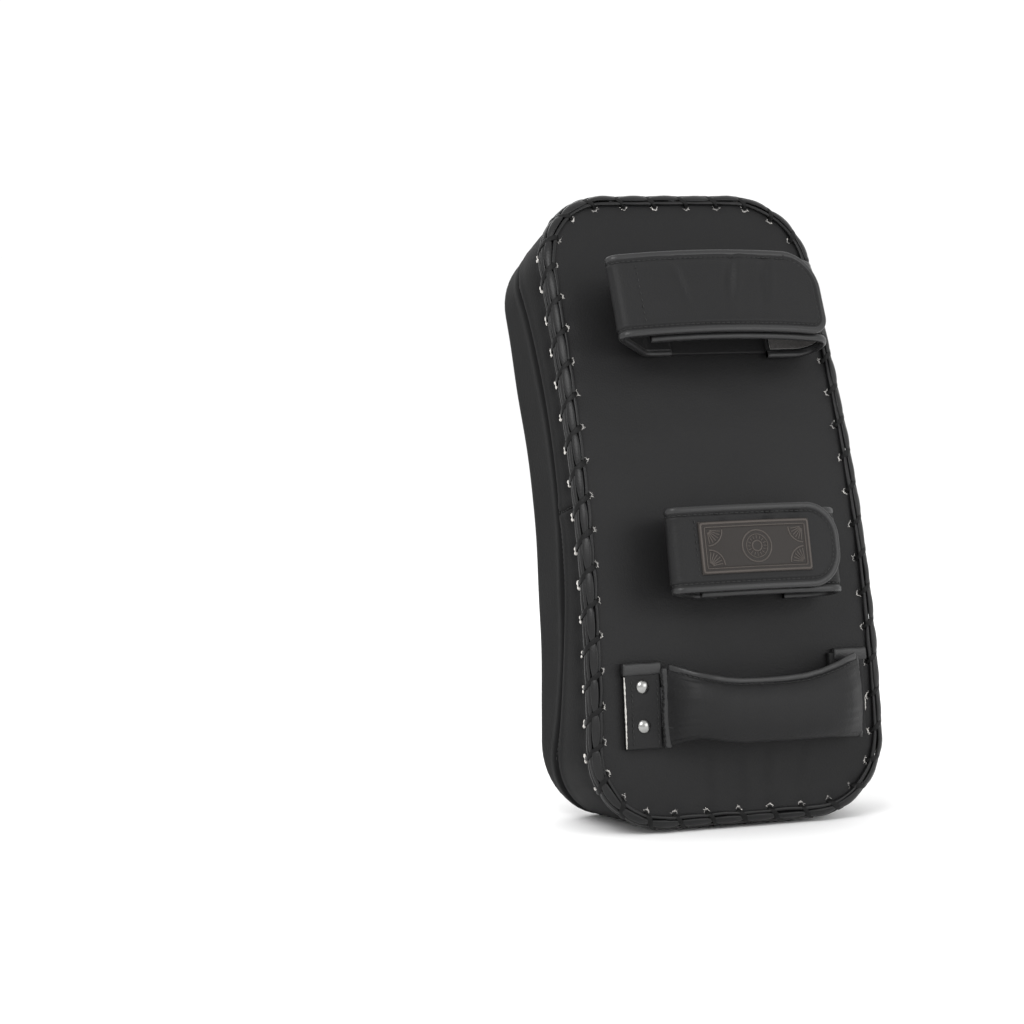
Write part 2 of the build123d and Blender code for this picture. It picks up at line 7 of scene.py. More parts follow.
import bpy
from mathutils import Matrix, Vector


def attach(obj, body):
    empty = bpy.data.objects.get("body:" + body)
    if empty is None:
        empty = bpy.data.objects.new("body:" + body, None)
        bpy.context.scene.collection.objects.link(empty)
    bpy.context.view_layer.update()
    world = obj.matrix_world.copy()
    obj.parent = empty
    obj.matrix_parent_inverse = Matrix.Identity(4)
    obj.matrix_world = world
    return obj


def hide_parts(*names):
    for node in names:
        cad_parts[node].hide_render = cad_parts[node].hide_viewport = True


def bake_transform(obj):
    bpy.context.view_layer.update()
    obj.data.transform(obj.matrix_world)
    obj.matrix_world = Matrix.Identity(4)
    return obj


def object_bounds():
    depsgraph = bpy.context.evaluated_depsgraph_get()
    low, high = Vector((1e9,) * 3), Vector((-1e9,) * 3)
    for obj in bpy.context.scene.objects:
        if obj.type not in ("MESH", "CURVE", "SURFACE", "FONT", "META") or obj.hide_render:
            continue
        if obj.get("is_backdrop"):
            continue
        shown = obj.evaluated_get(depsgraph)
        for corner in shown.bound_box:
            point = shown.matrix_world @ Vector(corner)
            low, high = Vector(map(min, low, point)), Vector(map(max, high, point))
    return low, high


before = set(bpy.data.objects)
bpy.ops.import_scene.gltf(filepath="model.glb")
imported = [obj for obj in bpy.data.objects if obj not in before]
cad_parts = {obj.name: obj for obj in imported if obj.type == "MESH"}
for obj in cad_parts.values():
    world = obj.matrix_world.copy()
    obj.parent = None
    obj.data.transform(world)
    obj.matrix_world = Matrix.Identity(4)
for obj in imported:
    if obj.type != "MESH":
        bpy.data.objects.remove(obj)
cad_low, cad_high = [list(corner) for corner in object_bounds()]

import math

import bpy
import numpy as np
from mathutils import Vector

MM = 0.001

# %% [markdown]
# The pad is bent, so a flat pattern is laid over it: x runs across, s runs along the strap face from the
# grip end, and h is the height above that face. The strap face is straight, then bends twice, each run
# with its own change of lean. A table of the running sum turns (x, s, h) into a place in space at once
# for thousands of points, which is simpler than bending a finished mesh with a modifier.

# %% The bent strap face
WIDTH, ELBOW_WIDTH = 0.200, 0.182
# each run's length, and its lean at both ends in degrees
RUNS = [(0.050, 3.45, 3.45), (0.205, 3.45, 21.5), (0.098, 21.5, 26.0), (0.052, 26.0, 26.0)]
LENGTH = sum(run[0] for run in RUNS)
FACE_Y, BASE_LIFT = -0.07535, 0.0048
STEP = 0.0005  # of the table
ACROSS_PAD = np.array([1.0, 0.0, 0.0])
marks = np.cumsum([0.0] + [run[0] for run in RUNS])
leans = [RUNS[0][1]] + [run[2] for run in RUNS]


def lean_at(s):
    """Lean of the strap face from upright, in radians."""
    return np.radians(np.interp(s, marks, leans))


table_s = np.arange(-80, int(LENGTH / STEP) + 81) * STEP
start = int(np.argmin(abs(table_s)))
half_way = lean_at(table_s[:-1] + STEP / 2)
table_y = np.concatenate([[0.0], np.cumsum(np.sin(half_way) * STEP)])
table_z = np.concatenate([[0.0], np.cumsum(np.cos(half_way) * STEP)])
table_y += FACE_Y - table_y[start]
table_z += BASE_LIFT - table_z[start]


def on_pad(x, s, h):
    """Places over the strap face, as an array of points."""
    x, s, h = np.broadcast_arrays(np.asarray(x, float), s, h)
    lean = lean_at(s)
    y = np.interp(s, table_s, table_y) - h * np.cos(lean)
    z = np.interp(s, table_s, table_z) + h * np.sin(lean)
    return np.stack([x, y, z], axis=-1)


def out_of_face(s):
    """Unit vectors out of the strap face."""
    lean = lean_at(s)
    return np.stack([np.zeros_like(lean), -np.cos(lean), np.sin(lean)], axis=-1)


def along_face(s):
    """Unit vectors along the strap face, towards the elbow end."""
    lean = lean_at(s)
    return np.stack([np.zeros_like(lean), np.sin(lean), np.cos(lean)], axis=-1)


print("strap face", round(LENGTH / MM), "mm long, top at", on_pad(0, LENGTH, 0).round(4))

# %% [markdown]
# Meshes are made as grids of points. One helper turns a grid into quads, and another closes a front and
# a back into a solid. Doing this in arrays keeps every piece closed and evenly divided, which is what
# shading and later export need.

# %% Grids and sheets


def grid_faces(rows, columns, wrap=False):
    """Quads of a grid of points; wrap joins the last column to the first."""
    index = np.arange(rows * columns).reshape(rows, columns)
    right = np.roll(index, -1, axis=1)
    if not wrap:
        index, right = index[:, :-1], right[:, :-1]
    quads = np.stack([index[:-1], right[:-1], right[1:], index[1:]], axis=-1)
    return quads.reshape(-1, 4)


def closed_sheet(front, back):
    """A solid from two grids of the same shape."""
    rows, columns = front.shape[:2]
    count = rows * columns
    index = np.arange(count).reshape(rows, columns)
    rim = np.concatenate([index[0, :-1], index[:-1, -1], index[-1, :0:-1], index[:0:-1, 0]])
    following = np.roll(rim, -1)
    faces = [grid_faces(rows, columns), grid_faces(rows, columns)[:, ::-1] + count]
    faces.append(np.stack([following, rim, rim + count, following + count], axis=-1))
    points = np.concatenate([front.reshape(-1, 3), back.reshape(-1, 3)])
    return points, np.concatenate(faces)


print("a grid of 3 x 3 points has", len(grid_faces(3, 3)), "faces")

# %% [markdown]
# Laces, threads, bindings and raised lines are all tubes: a section that follows a path. Blender's curves
# could draw them, but a section whose width, height and squareness change along the path is easier to
# control as an array. Several parts are joined into one mesh, so that 51 wraps are one piece.

# %% Tubes, closed ends and joined parts


def unit(vectors):
    """The same vectors with length one."""
    return vectors / np.maximum(np.linalg.norm(vectors, axis=-1, keepdims=True), 1e-12)


def tube(path, up, half_side, half_up, ring=12, closed=False, power=1.0):
    """A tube along a path; the half sizes may change along it, and a power below one squares it."""
    if closed:
        tangent = unit(np.roll(path, -1, axis=0) - np.roll(path, 1, axis=0))
    else:
        tangent = unit(np.gradient(path, axis=0))
    side = unit(np.cross(tangent, up))
    lift = np.cross(side, tangent)
    angle = np.linspace(0, 2 * np.pi, ring, endpoint=False)
    across = np.sign(np.cos(angle)) * abs(np.cos(angle)) ** power
    high = np.sign(np.sin(angle)) * abs(np.sin(angle)) ** power
    wide = np.broadcast_to(half_side, len(path))[:, None, None]
    tall = np.broadcast_to(half_up, len(path))[:, None, None]
    points = path[:, None] + side[:, None] * across[:, None] * wide
    points = points + lift[:, None] * high[:, None] * tall
    if closed:
        points = np.concatenate([points, points[:1]])
        faces = grid_faces(len(points), ring, wrap=True)
        faces[faces >= len(path) * ring] -= len(path) * ring
        return points[:-1].reshape(-1, 3), faces
    count = len(path) * ring
    faces = grid_faces(len(path), ring, wrap=True)
    first = np.stack([np.arange(ring), np.roll(np.arange(ring), -1), np.full(ring, count)], axis=-1)
    last = first[:, [1, 0, 2]] + [count - ring, count - ring, 1]
    points = np.concatenate([points.reshape(-1, 3), path[:1], path[-1:]])
    caps = np.concatenate([first, last])[:, ::-1]
    return points, [faces, caps]


def closed_ends(rings):
    """A closed mesh from rings of points, with a fan at each end."""
    rows, ring = rings.shape[:2]
    faces = grid_faces(rows, ring, wrap=True)
    here = np.arange(ring)
    start_fan = np.stack([here, np.roll(here, -1), np.full(ring, rows * ring)], axis=-1)
    end_fan = start_fan[:, [1, 0, 2]] + [(rows - 1) * ring, (rows - 1) * ring, 1]
    points = [rings.reshape(-1, 3), rings[0].mean(0)[None], rings[-1].mean(0)[None]]
    return np.concatenate(points), [faces[:, ::-1], np.concatenate([start_fan, end_fan])]


def join(parts):
    """One list of points and faces from several (points, faces)."""
    points, faces, offset = [], [], 0
    for some_points, some_faces in parts:
        points.append(some_points)
        for block in some_faces if isinstance(some_faces, list) else [some_faces]:
            faces.extend((block + offset).tolist())
        offset += len(some_points)
    return np.concatenate(points), faces


print("drawn with:", tube.__name__, closed_ends.__name__, join.__name__)

# %% [markdown]
# Nothing on a used pad is quite even. A wobble adds up seven waves that run in random directions, which
# gives slow dents where it is wide and a handmade edge where it is narrow. A bell is one smooth dent or
# ridge, for seams, holes and creases. Every wobble has its own seed, so the pad is the same each time.

# %% Unevenness
WAVES = 7


def wobble(u, v, scale, seed):
    """A smooth random field between about -1 and 1, whose bumps are about scale wide."""
    draw = np.random.default_rng(seed)
    total = np.zeros(np.broadcast(u, v).shape)
    for _ in range(WAVES):
        turn, phase = draw.uniform(0, 2 * np.pi), draw.uniform(0, 2 * np.pi)
        size = draw.uniform(0.7, 1.5)
        total += np.sin((u * np.cos(turn) + v * np.sin(turn)) * np.pi / (scale * size) + phase)
    return total / (WAVES / 2)


def bell(distance, spread):
    """One at distance zero, falling smoothly to nothing."""
    return np.exp(-((distance / spread) ** 2))


print("a bell at its spread is", round(float(bell(1.0, 1.0)), 3))

# %% [markdown]
# Two node groups are shared by the finishes. Grain gives the pebbled height and the fine unevenness of
# tanned leather. Handling gives the slow change of tone that comes from being touched and stored, duller
# in patches, and makes raised places paler, partly from rubbing and partly as a painted highlight. Each
# finish keeps its own shader, so that its gloss is set on the shader's own sockets.

# %% Shared node groups


def new_group(name, inputs, outputs):
    """A shader node group with named sockets; inputs come with their default values."""
    group = bpy.data.node_groups.new(name, "ShaderNodeTree")
    for socket, kind, default in inputs:
        made = group.interface.new_socket(name=socket, in_out="INPUT", socket_type=kind)
        made.default_value = default
    for socket, kind in outputs:
        group.interface.new_socket(name=socket, in_out="OUTPUT", socket_type=kind)
    return group, group.nodes.new("NodeGroupInput"), group.nodes.new("NodeGroupOutput")


def set_sockets(made, **values):
    """Sets inputs that nothing is linked to; an underscore stands for a space."""
    for key, value in values.items():
        made.inputs[key.replace("_", " ")].default_value = value
    return made


def node(tree, kind, settings=None, **values):
    """A node with some of its properties and unlinked inputs set."""
    made = tree.nodes.new(kind)
    for key, value in (settings or {}).items():
        setattr(made, key, value)
    return set_sockets(made, **values)


def grain_group():
    """Pebbled leather grain as a height."""
    inputs = [("Pebble size", "NodeSocketFloat", 0.0011), ("Depth", "NodeSocketFloat", 1.0)]
    group, given, result = new_group("leather_grain", inputs, [("Height", "NodeSocketFloat")])
    link = group.links.new
    place = node(group, "ShaderNodeTexCoord")
    scale = node(group, "ShaderNodeMath", {"operation": "DIVIDE"})
    scale.inputs[0].default_value = 1.0
    link(given.outputs["Pebble size"], scale.inputs[1])
    bend = node(group, "ShaderNodeTexNoise", Scale=260.0, Detail=2.0)
    stretch = node(group, "ShaderNodeVectorMath", {"operation": "MULTIPLY_ADD"})
    stretch.inputs[1].default_value = (0.0016, 0.0016, 0.0016)
    link(place.outputs["Object"], bend.inputs["Vector"])
    link(bend.outputs["Color"], stretch.inputs[0])
    link(place.outputs["Object"], stretch.inputs[2])
    cells = node(group, "ShaderNodeTexVoronoi", {"feature": "SMOOTH_F1"}, Smoothness=0.6)
    link(stretch.outputs["Vector"], cells.inputs["Vector"])
    link(scale.outputs["Value"], cells.inputs["Scale"])
    fine = node(group, "ShaderNodeTexNoise", Scale=3200.0, Detail=3.0)
    link(place.outputs["Object"], fine.inputs["Vector"])
    both = node(group, "ShaderNodeMath", {"operation": "MULTIPLY_ADD"})
    both.inputs[1].default_value = 0.35
    link(fine.outputs["Fac"], both.inputs[0])
    link(cells.outputs["Distance"], both.inputs[2])
    deep = node(group, "ShaderNodeMath", {"operation": "MULTIPLY"})
    link(both.outputs["Value"], deep.inputs[0])
    link(given.outputs["Depth"], deep.inputs[1])
    link(deep.outputs["Value"], result.inputs["Height"])
    return group


def handling_and_highlight_group():
    """Slow changes of tone, and raised edges made paler, partly from rubbing and partly as a painted
    highlight, for a colour and a roughness.
    """
    inputs = [
        ("Color", "NodeSocketColor", (0.03, 0.03, 0.031, 1.0)),
        ("Rubbed color", "NodeSocketColor", (0.08, 0.08, 0.082, 1.0)),
        ("Roughness", "NodeSocketFloat", 0.5),
        ("Wear", "NodeSocketFloat", 0.5),
    ]
    outputs = [("Color", "NodeSocketColor"), ("Roughness", "NodeSocketFloat")]
    group, given, result = new_group("handling_and_highlight", inputs, outputs)
    link = group.links.new
    place = node(group, "ShaderNodeTexCoord")
    cloud = node(group, "ShaderNodeTexNoise", Scale=22.0, Detail=5.0, Roughness=0.62)
    link(place.outputs["Object"], cloud.inputs["Vector"])
    edge = node(group, "ShaderNodeNewGeometry")
    raised = node(
        group, "ShaderNodeMapRange", {"interpolation_type": "SMOOTHSTEP"}, From_Min=0.52, From_Max=0.66
    )
    link(edge.outputs["Pointiness"], raised.inputs["Value"])
    # raised places take the paler colour: partly from rubbing, partly a painted highlight on edges and
    # lace
    worn_and_highlit = node(group, "ShaderNodeMath", {"operation": "MULTIPLY", "use_clamp": True})
    link(raised.outputs["Result"], worn_and_highlit.inputs[0])
    link(given.outputs["Wear"], worn_and_highlit.inputs[1])
    rub_and_highlight = node(group, "ShaderNodeMix", {"data_type": "RGBA"})
    link(worn_and_highlit.outputs["Value"], rub_and_highlight.inputs["Factor"])
    link(given.outputs["Color"], rub_and_highlight.inputs["A"])
    link(given.outputs["Rubbed color"], rub_and_highlight.inputs["B"])
    tone = node(group, "ShaderNodeMapRange", To_Min=0.82, To_Max=1.2)
    link(cloud.outputs["Fac"], tone.inputs["Value"])
    shade = node(group, "ShaderNodeVectorMath", {"operation": "SCALE"})
    link(rub_and_highlight.outputs["Result"], shade.inputs[0])
    link(tone.outputs["Result"], shade.inputs["Scale"])
    link(shade.outputs["Vector"], result.inputs["Color"])
    dull = node(group, "ShaderNodeMapRange", To_Min=-0.07, To_Max=0.09)
    link(cloud.outputs["Fac"], dull.inputs["Value"])
    matt = node(group, "ShaderNodeMath", {"operation": "ADD", "use_clamp": True})
    link(given.outputs["Roughness"], matt.inputs[0])
    link(dull.outputs["Result"], matt.inputs[1])
    link(matt.outputs["Value"], result.inputs["Roughness"])
    return group


grain, handling_and_highlight = grain_group(), handling_and_highlight_group()
print("groups:", grain.name, handling_and_highlight.name)

# %% [markdown]
# Leather comes in seven finishes here: the matte hide of the face, the less glossy hide of the walls,
# whose darker tone is painted shade, the smoother lacing and its wraps, whose darker tone is the painted
# shade between the strands, the bindings, whose lighter tone is a painted highlight, and the browner
# badge with its rubbed relief. They differ in tone, pebble size and gloss, so one function makes them
# from those values. A little coat gives the soft sheen of waxed leather.

# %% Leather finishes
GRAIN_HEIGHT = 0.00022


def new_material(name):
    """A material, its node tree and its shader."""
    material = bpy.data.materials.new(name)
    material.use_nodes = True
    return material, material.node_tree, material.node_tree.nodes["Principled BSDF"]


def leather(name, tone, rubbed_and_highlit, roughness, pebble, depth, wear_and_highlight=0.5, coat=0.0, gloss=0.2):
    """A leather finish: its tone, the paler tone of raised places (from rubbing, and a painted
    highlight), and its grain.
    """
    material, tree, shader = new_material(name)
    look = node(tree, "ShaderNodeGroup", {"node_tree": handling_and_highlight})
    # the paler colour of raised places is partly from rubbing and partly a painted highlight
    set_sockets(look, Color=(*tone, 1.0), Rubbed_color=(*rubbed_and_highlit, 1.0), Roughness=roughness, Wear=wear_and_highlight)
    skin = node(tree, "ShaderNodeGroup", {"node_tree": grain}, Pebble_size=pebble, Depth=depth)
    bump = node(tree, "ShaderNodeBump", Strength=0.6, Distance=GRAIN_HEIGHT)
    tree.links.new(look.outputs["Color"], shader.inputs["Base Color"])
    tree.links.new(look.outputs["Roughness"], shader.inputs["Roughness"])
    tree.links.new(skin.outputs["Height"], bump.inputs["Height"])
    tree.links.new(bump.outputs["Normal"], shader.inputs["Normal"])
    set_sockets(shader, Specular_IOR_Level=gloss, Coat_Weight=coat, Coat_Roughness=0.35)
    return material


face_leather = leather(
    "face_leather", (0.0085, 0.0085, 0.0088), (0.024, 0.024, 0.0245), 0.52, 0.0011, 1.0
)
# the walls' darker tone is painted shade; their low gloss is the walls' real matte finish
wall_leather = leather(
    "wall_leather", (0.0055, 0.0055, 0.0057), (0.016, 0.016, 0.0165), 0.6, 0.0011, 1.0, gloss=0.07
)
lace_leather = leather(
    "lace_leather", (0.0075, 0.0075, 0.0077), (0.03, 0.03, 0.031), 0.36, 0.0008, 0.8,
    wear_and_highlight=0.8, coat=0.12,
)
# the wraps' darker tone is painted shade, for the valleys between the swollen strands where they lie
shaded_wrap_leather = leather(
    "shaded_wrap_leather", (0.0045, 0.0045, 0.0046), (0.014, 0.014, 0.0145), 0.5, 0.0008, 0.8,
    wear_and_highlight=0.6, gloss=0.16,
)
# the bindings' lighter tone and strong paling of raised places are a painted highlight on the bound edges
# and ridges
highlit_bound_leather = leather(
    "highlit_bound_leather", (0.0145, 0.0145, 0.0149), (0.06, 0.06, 0.061), 0.36, 0.0008, 0.8,
    wear_and_highlight=0.9, coat=0.15, gloss=0.3,
)
badge_leather = leather(
    "badge_leather", (0.0165, 0.0138, 0.0122), (0.06, 0.052, 0.047), 0.46, 0.0009, 0.6,
    wear_and_highlight=0.9, coat=0.05,
)
badge_edges = leather(
    "badge_edges", (0.055, 0.047, 0.042), (0.1, 0.088, 0.08), 0.42, 0.0009, 0.5, wear_and_highlight=0.9, coat=0.1
)
print("leathers:", [m.name for m in bpy.data.materials if "leather" in m.name])

# %% [markdown]
# The other finishes are plain by nature: raw hide where the dyed skin was cut or pierced, sewing thread,
# the pile and hooks of the tapes, brushed lining, woven webbing, foam, nickel and brass. Cloth gets a
# sheen and a fibrous height, metal gets fine scratches.

# %% Cloth, thread and foam finishes


def cloth(name, tone, roughness, scale, height, sheen=0.0, stretch=(1.0, 1.0, 1.0)):
    """A fibrous finish: noise drawn out by stretch, as pile, weave or cut fibres are."""
    material, tree, shader = new_material(name)
    place = node(tree, "ShaderNodeTexCoord")
    mapping = node(tree, "ShaderNodeMapping", Scale=stretch)
    fibres = node(tree, "ShaderNodeTexNoise", Scale=scale, Detail=4.0, Roughness=0.7)
    tree.links.new(place.outputs["Object"], mapping.inputs["Vector"])
    tree.links.new(mapping.outputs["Vector"], fibres.inputs["Vector"])
    tones = node(tree, "ShaderNodeValToRGB")
    for stop, position, factor in zip(tones.color_ramp.elements, (0.3, 0.75), (0.55, 1.5)):
        stop.position, stop.color = position, (*[factor * part for part in tone], 1.0)
    tree.links.new(fibres.outputs["Fac"], tones.inputs["Fac"])
    tree.links.new(tones.outputs["Color"], shader.inputs["Base Color"])
    bump = node(tree, "ShaderNodeBump", Strength=0.9, Distance=height)
    tree.links.new(fibres.outputs["Fac"], bump.inputs["Height"])
    tree.links.new(bump.outputs["Normal"], shader.inputs["Normal"])
    set_sockets(shader, Roughness=roughness, Sheen_Weight=sheen)
    return material


raw_hide = cloth("raw_hide", (0.62, 0.6, 0.57), 0.85, 1800.0, 0.0003)
dull_hide = cloth("dull_hide", (0.3, 0.29, 0.28), 0.85, 1800.0, 0.0003)
thread = cloth("thread", (0.004, 0.004, 0.004), 0.6, 2600.0, 0.0001)
pile = cloth("loop_pile", (0.022, 0.022, 0.023), 0.9, 900.0, 0.0012, sheen=0.5)
hooks = cloth("hook_fibres", (0.02, 0.02, 0.021), 0.6, 1500.0, 0.0008, sheen=0.2)
brushed = cloth("brushed_lining", (0.035, 0.032, 0.03), 0.9, 700.0, 0.0005, sheen=0.4)
woven = cloth("woven_webbing", (0.03, 0.03, 0.031), 0.8, 1200.0, 0.0004, stretch=(1.0, 3.0, 3.0))
foam = cloth("closed_foam", (0.06, 0.06, 0.062), 0.9, 500.0, 0.0004)
print("plain finishes:", raw_hide.name, "to", foam.name)

# %% [markdown]
# Rivets and washers are the only metal. A fine noise makes the gloss uneven, as handling does, and a
# slight bump breaks the reflection into scratches. The tone itself stays nearly plain.

# %% Metal finishes


def metal(name, tone, roughness, scale):
    """A metal finish with fine scratches and a little tarnish."""
    material, tree, shader = new_material(name)
    place = node(tree, "ShaderNodeTexCoord")
    marks_noise = node(tree, "ShaderNodeTexNoise", Scale=scale, Detail=6.0, Roughness=0.75)
    tree.links.new(place.outputs["Object"], marks_noise.inputs["Vector"])
    dull = node(tree, "ShaderNodeMapRange", To_Min=roughness * 0.6, To_Max=roughness * 1.7)
    tree.links.new(marks_noise.outputs["Fac"], dull.inputs["Value"])
    tree.links.new(dull.outputs["Result"], shader.inputs["Roughness"])
    tint = node(tree, "ShaderNodeValToRGB")
    tint.color_ramp.elements[0].color = (*[0.8 * part for part in tone], 1.0)
    tint.color_ramp.elements[1].color = (*tone, 1.0)
    tree.links.new(marks_noise.outputs["Fac"], tint.inputs["Fac"])
    tree.links.new(tint.outputs["Color"], shader.inputs["Base Color"])
    bump = node(tree, "ShaderNodeBump", Strength=0.25, Distance=0.0001)
    tree.links.new(marks_noise.outputs["Fac"], bump.inputs["Height"])
    tree.links.new(bump.outputs["Normal"], shader.inputs["Normal"])
    shader.inputs["Metallic"].default_value = 1.0
    return material


# the nickel is set darker than bright nickel: painted shade standing in for the dark reflections round
# the rivets
nickel = metal("nickel", (0.36, 0.36, 0.35), 0.2, 900.0)
burr_brass = metal("burr_brass", (0.72, 0.52, 0.26), 0.3, 900.0)
print("finishes in all:", len(bpy.data.materials))

# %% [markdown]
# Every piece goes through one function, so that it gets its finish, the body it moves with and the
# imported nodes it stands for in one place. Smooth shading is right for leather, cord and cloth; sharp
# corners come from close rows of points, not from flat shading. Pieces that are hidden, or plain enough
# already, stay as they are packed and only get their finish.

# %% Make a piece


def piece(name, parts, finish, slot, body, *nodes):
    """A mesh object from (points, faces) parts, riding on a body and standing for the nodes."""
    points, faces = join(parts)
    mesh = bpy.data.meshes.new(name)
    mesh.from_pydata(points.tolist(), [], faces)
    mesh.update()
    mesh.shade_smooth()
    made = bpy.data.objects.new(name, mesh)
    bpy.context.scene.collection.objects.link(made)
    made.data.materials.append(finish)
    if body:
        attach(made, body)
    if nodes:
        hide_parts(*nodes)
    print(name, "points", len(points), "faces", len(faces))
    return made


PACKED_FINISHES = (
    (foam, "foam_firm", "foam_middle", "foam_strike"),
    (woven, "handle_webbing", "backing_patch_left", "backing_patch_right"),
    (burr_brass, "rivet_burrs"),
    (pile, "forearm_loop_tape", "wrist_loop_tape"),
    (hooks, "forearm_hook_tape", "wrist_hook_tape"),
)
for finish, *node_names in PACKED_FINISHES:
    for node_name in node_names:
        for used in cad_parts[node_name].material_slots:
            used.material = finish
print("packed nodes with a finish:", sum(len(row) - 1 for row in PACKED_FINISHES))

# %% [markdown]
# The strike side is not parallel to the strap face: seen from the side it is a straight, a bend of 430 mm
# radius and a straight. The thickness at any s is found by halving the span between two depths until the
# strike side is met, for all points at once. The seams between the gussets and the strike panel are arcs
# in the same side view, and their depth comes from a circle through three places.

# %% Thickness and seam depth
LOWER_THICK, UPPER_THICK = 0.090, 0.084
BEND_RADIUS = 0.430
THINNEST, THICKEST, HALVINGS = 0.04, 0.13, 40  # of the search for the thickness
CROSS_SEAM_S = LENGTH / 2


def side(s, depth):
    """Y and Z of a place under the strap face, as a pair."""
    return on_pad(0.0, s, -depth)[..., 1:]


low_lean, high_lean = lean_at(0.0), lean_at(LENGTH)
low_run = np.array([math.sin(low_lean), math.cos(low_lean)])
high_run = np.array([math.sin(high_lean), math.cos(high_lean)])
low_out = np.array([low_run[1], -low_run[0]])
high_out = np.array([high_run[1], -high_run[0]])
low_end, high_end = side(0.0, LOWER_THICK), side(LENGTH, UPPER_THICK)
crossing = np.linalg.solve(np.array([low_run, -high_run]).T, high_end - low_end)
corner_place = low_end + crossing[0] * low_run
tangent_length = BEND_RADIUS * math.tan((high_lean - low_lean) / 2)
bend_start = corner_place - tangent_length * low_run
bend_centre = bend_start + BEND_RADIUS * low_out


def past_strike(place):
    """Positive where a place of the side view lies beyond the strike side."""
    offset = place - bend_centre
    before = (place - bend_start) @ low_run < 0
    after = (place - corner_place - tangent_length * high_run) @ high_run > 0
    flat_low, flat_high = (place - low_end) @ low_out, (place - high_end) @ high_out
    bend = BEND_RADIUS - np.linalg.norm(offset, axis=-1)
    return np.where(before, flat_low, np.where(after, flat_high, bend))


def thickness(s):
    """Distance from the strap face to the strike side."""
    near, far = np.full_like(s, THINNEST), np.full_like(s, THICKEST)
    for _ in range(HALVINGS):
        middle = (near + far) / 2
        beyond = past_strike(side(s, middle)) > 0
        near, far = np.where(beyond, near, middle), np.where(beyond, middle, far)
    return near


def arc_depth(s, first, middle, last):
    """Depth at which the ray into the pad meets the circle through three places."""
    a, b, c = side(*first), side(*middle), side(*last)
    rows = np.array([b - a, c - a]) * 2
    centre = np.linalg.solve(rows, np.array([b @ b - a @ a, c @ c - a @ a]))
    radius = np.linalg.norm(a - centre)
    origin, lean = side(s, 0.0), lean_at(s)
    ray = np.stack([np.cos(lean), -np.sin(lean)], axis=-1)
    along = ((centre - origin) * ray).sum(-1)
    off = ((centre - origin) ** 2).sum(-1) - along**2
    root = np.sqrt(np.maximum(radius**2 - off, 0.0))
    guess = np.interp(s, [first[0], last[0]], [first[1], last[1]])
    nearer = abs(along - root - guess) < abs(along + root - guess)
    return np.where(nearer, along - root, along + root)


def seam_depth(s):
    """Depth of the seam between gusset and strike panel."""
    cross = (CROSS_SEAM_S, 0.035)
    low = arc_depth(s, (-0.001, 0.079), (0.100, 0.044), cross)
    high = arc_depth(s, cross, (0.300, 0.0355), (LENGTH + 0.001, 0.062))
    return np.where(s < CROSS_SEAM_S, low, high)


probe = np.array([0.0, 0.1, 0.2, 0.3, LENGTH])
print("thickness mm", (thickness(probe) / MM).round(1), "seam mm", (seam_depth(probe) / MM).round(1))

# %% [markdown]
# The outline is a rounded rectangle that narrows towards the elbow end. Its rows follow the corners, so
# that a row near the end is as short as the end is, and every ring of the wall has one point for each
# point of the outline. Rows are closer together at the cross seam, where the leather turns in.

# %% The outline
CORNER = 0.048
LACED_EDGE, STRIKE_EDGE = 0.005, 0.011
COLUMNS = 64
SEAM_STEPS = np.array([0.4, 0.9, 1.6, 2.5, 3.6, 5.2, 7.2]) * MM
TAPER = math.atan((WIDTH - ELBOW_WIDTH) / 2 / LENGTH)
LOW_CENTRE = WIDTH / 2 - CORNER * (1 + math.sin(TAPER)) / math.cos(TAPER)
HIGH_CENTRE = WIDTH / 2 - (CORNER + (LENGTH - CORNER) * math.sin(TAPER)) / math.cos(TAPER)
low_turns, high_turns = np.linspace(-np.pi / 2, TAPER, 16), np.linspace(TAPER, np.pi / 2, 16)
CLEAR_OF_SEAM, STRAIGHT_ROWS = 9.5 * MM, 50
below = np.linspace(CORNER, CROSS_SEAM_S - CLEAR_OF_SEAM, STRAIGHT_ROWS)[1:]
above = np.linspace(CROSS_SEAM_S + CLEAR_OF_SEAM, LENGTH - CORNER, STRAIGHT_ROWS)[:-1]
near_seam = np.concatenate([CROSS_SEAM_S - SEAM_STEPS[::-1], [CROSS_SEAM_S], CROSS_SEAM_S + SEAM_STEPS])
straight = np.concatenate([below, near_seam, above])
across = np.linspace(-1, 1, COLUMNS + 1)


def half_width(s, inset=0.0):
    """Half of the pad's width at a place along it."""
    return WIDTH / 2 - inset / math.cos(TAPER) - math.tan(TAPER) * s


def rows_at(inset):
    """The rows' places along the pad, and half of their widths, for an outline moved inwards."""
    turn = CORNER - inset
    s = [CORNER + turn * np.sin(low_turns), straight, LENGTH - CORNER + turn * np.sin(high_turns)]
    half = [LOW_CENTRE + turn * np.cos(low_turns), half_width(straight, inset)]
    half.append(HIGH_CENTRE + turn * np.cos(high_turns))
    return np.concatenate(s), np.concatenate(half)


ROWS = len(rows_at(0.0)[0])
grid_index = np.arange(ROWS * (COLUMNS + 1)).reshape(ROWS, COLUMNS + 1)
loop_index = np.concatenate(
    [grid_index[0, :-1], grid_index[:-1, -1], grid_index[-1, :0:-1], grid_index[:0:-1, 0]]
)


def flat_grid(inset):
    """The grid of x and s that fills the outline moved inwards."""
    s, half = rows_at(inset)
    return half[:, None] * across, np.broadcast_to(s[:, None], (ROWS, COLUMNS + 1))


def edge_loop(inset):
    """X and s round the outline moved inwards."""
    x, s = flat_grid(inset)
    return x.ravel()[loop_index], s.ravel()[loop_index]


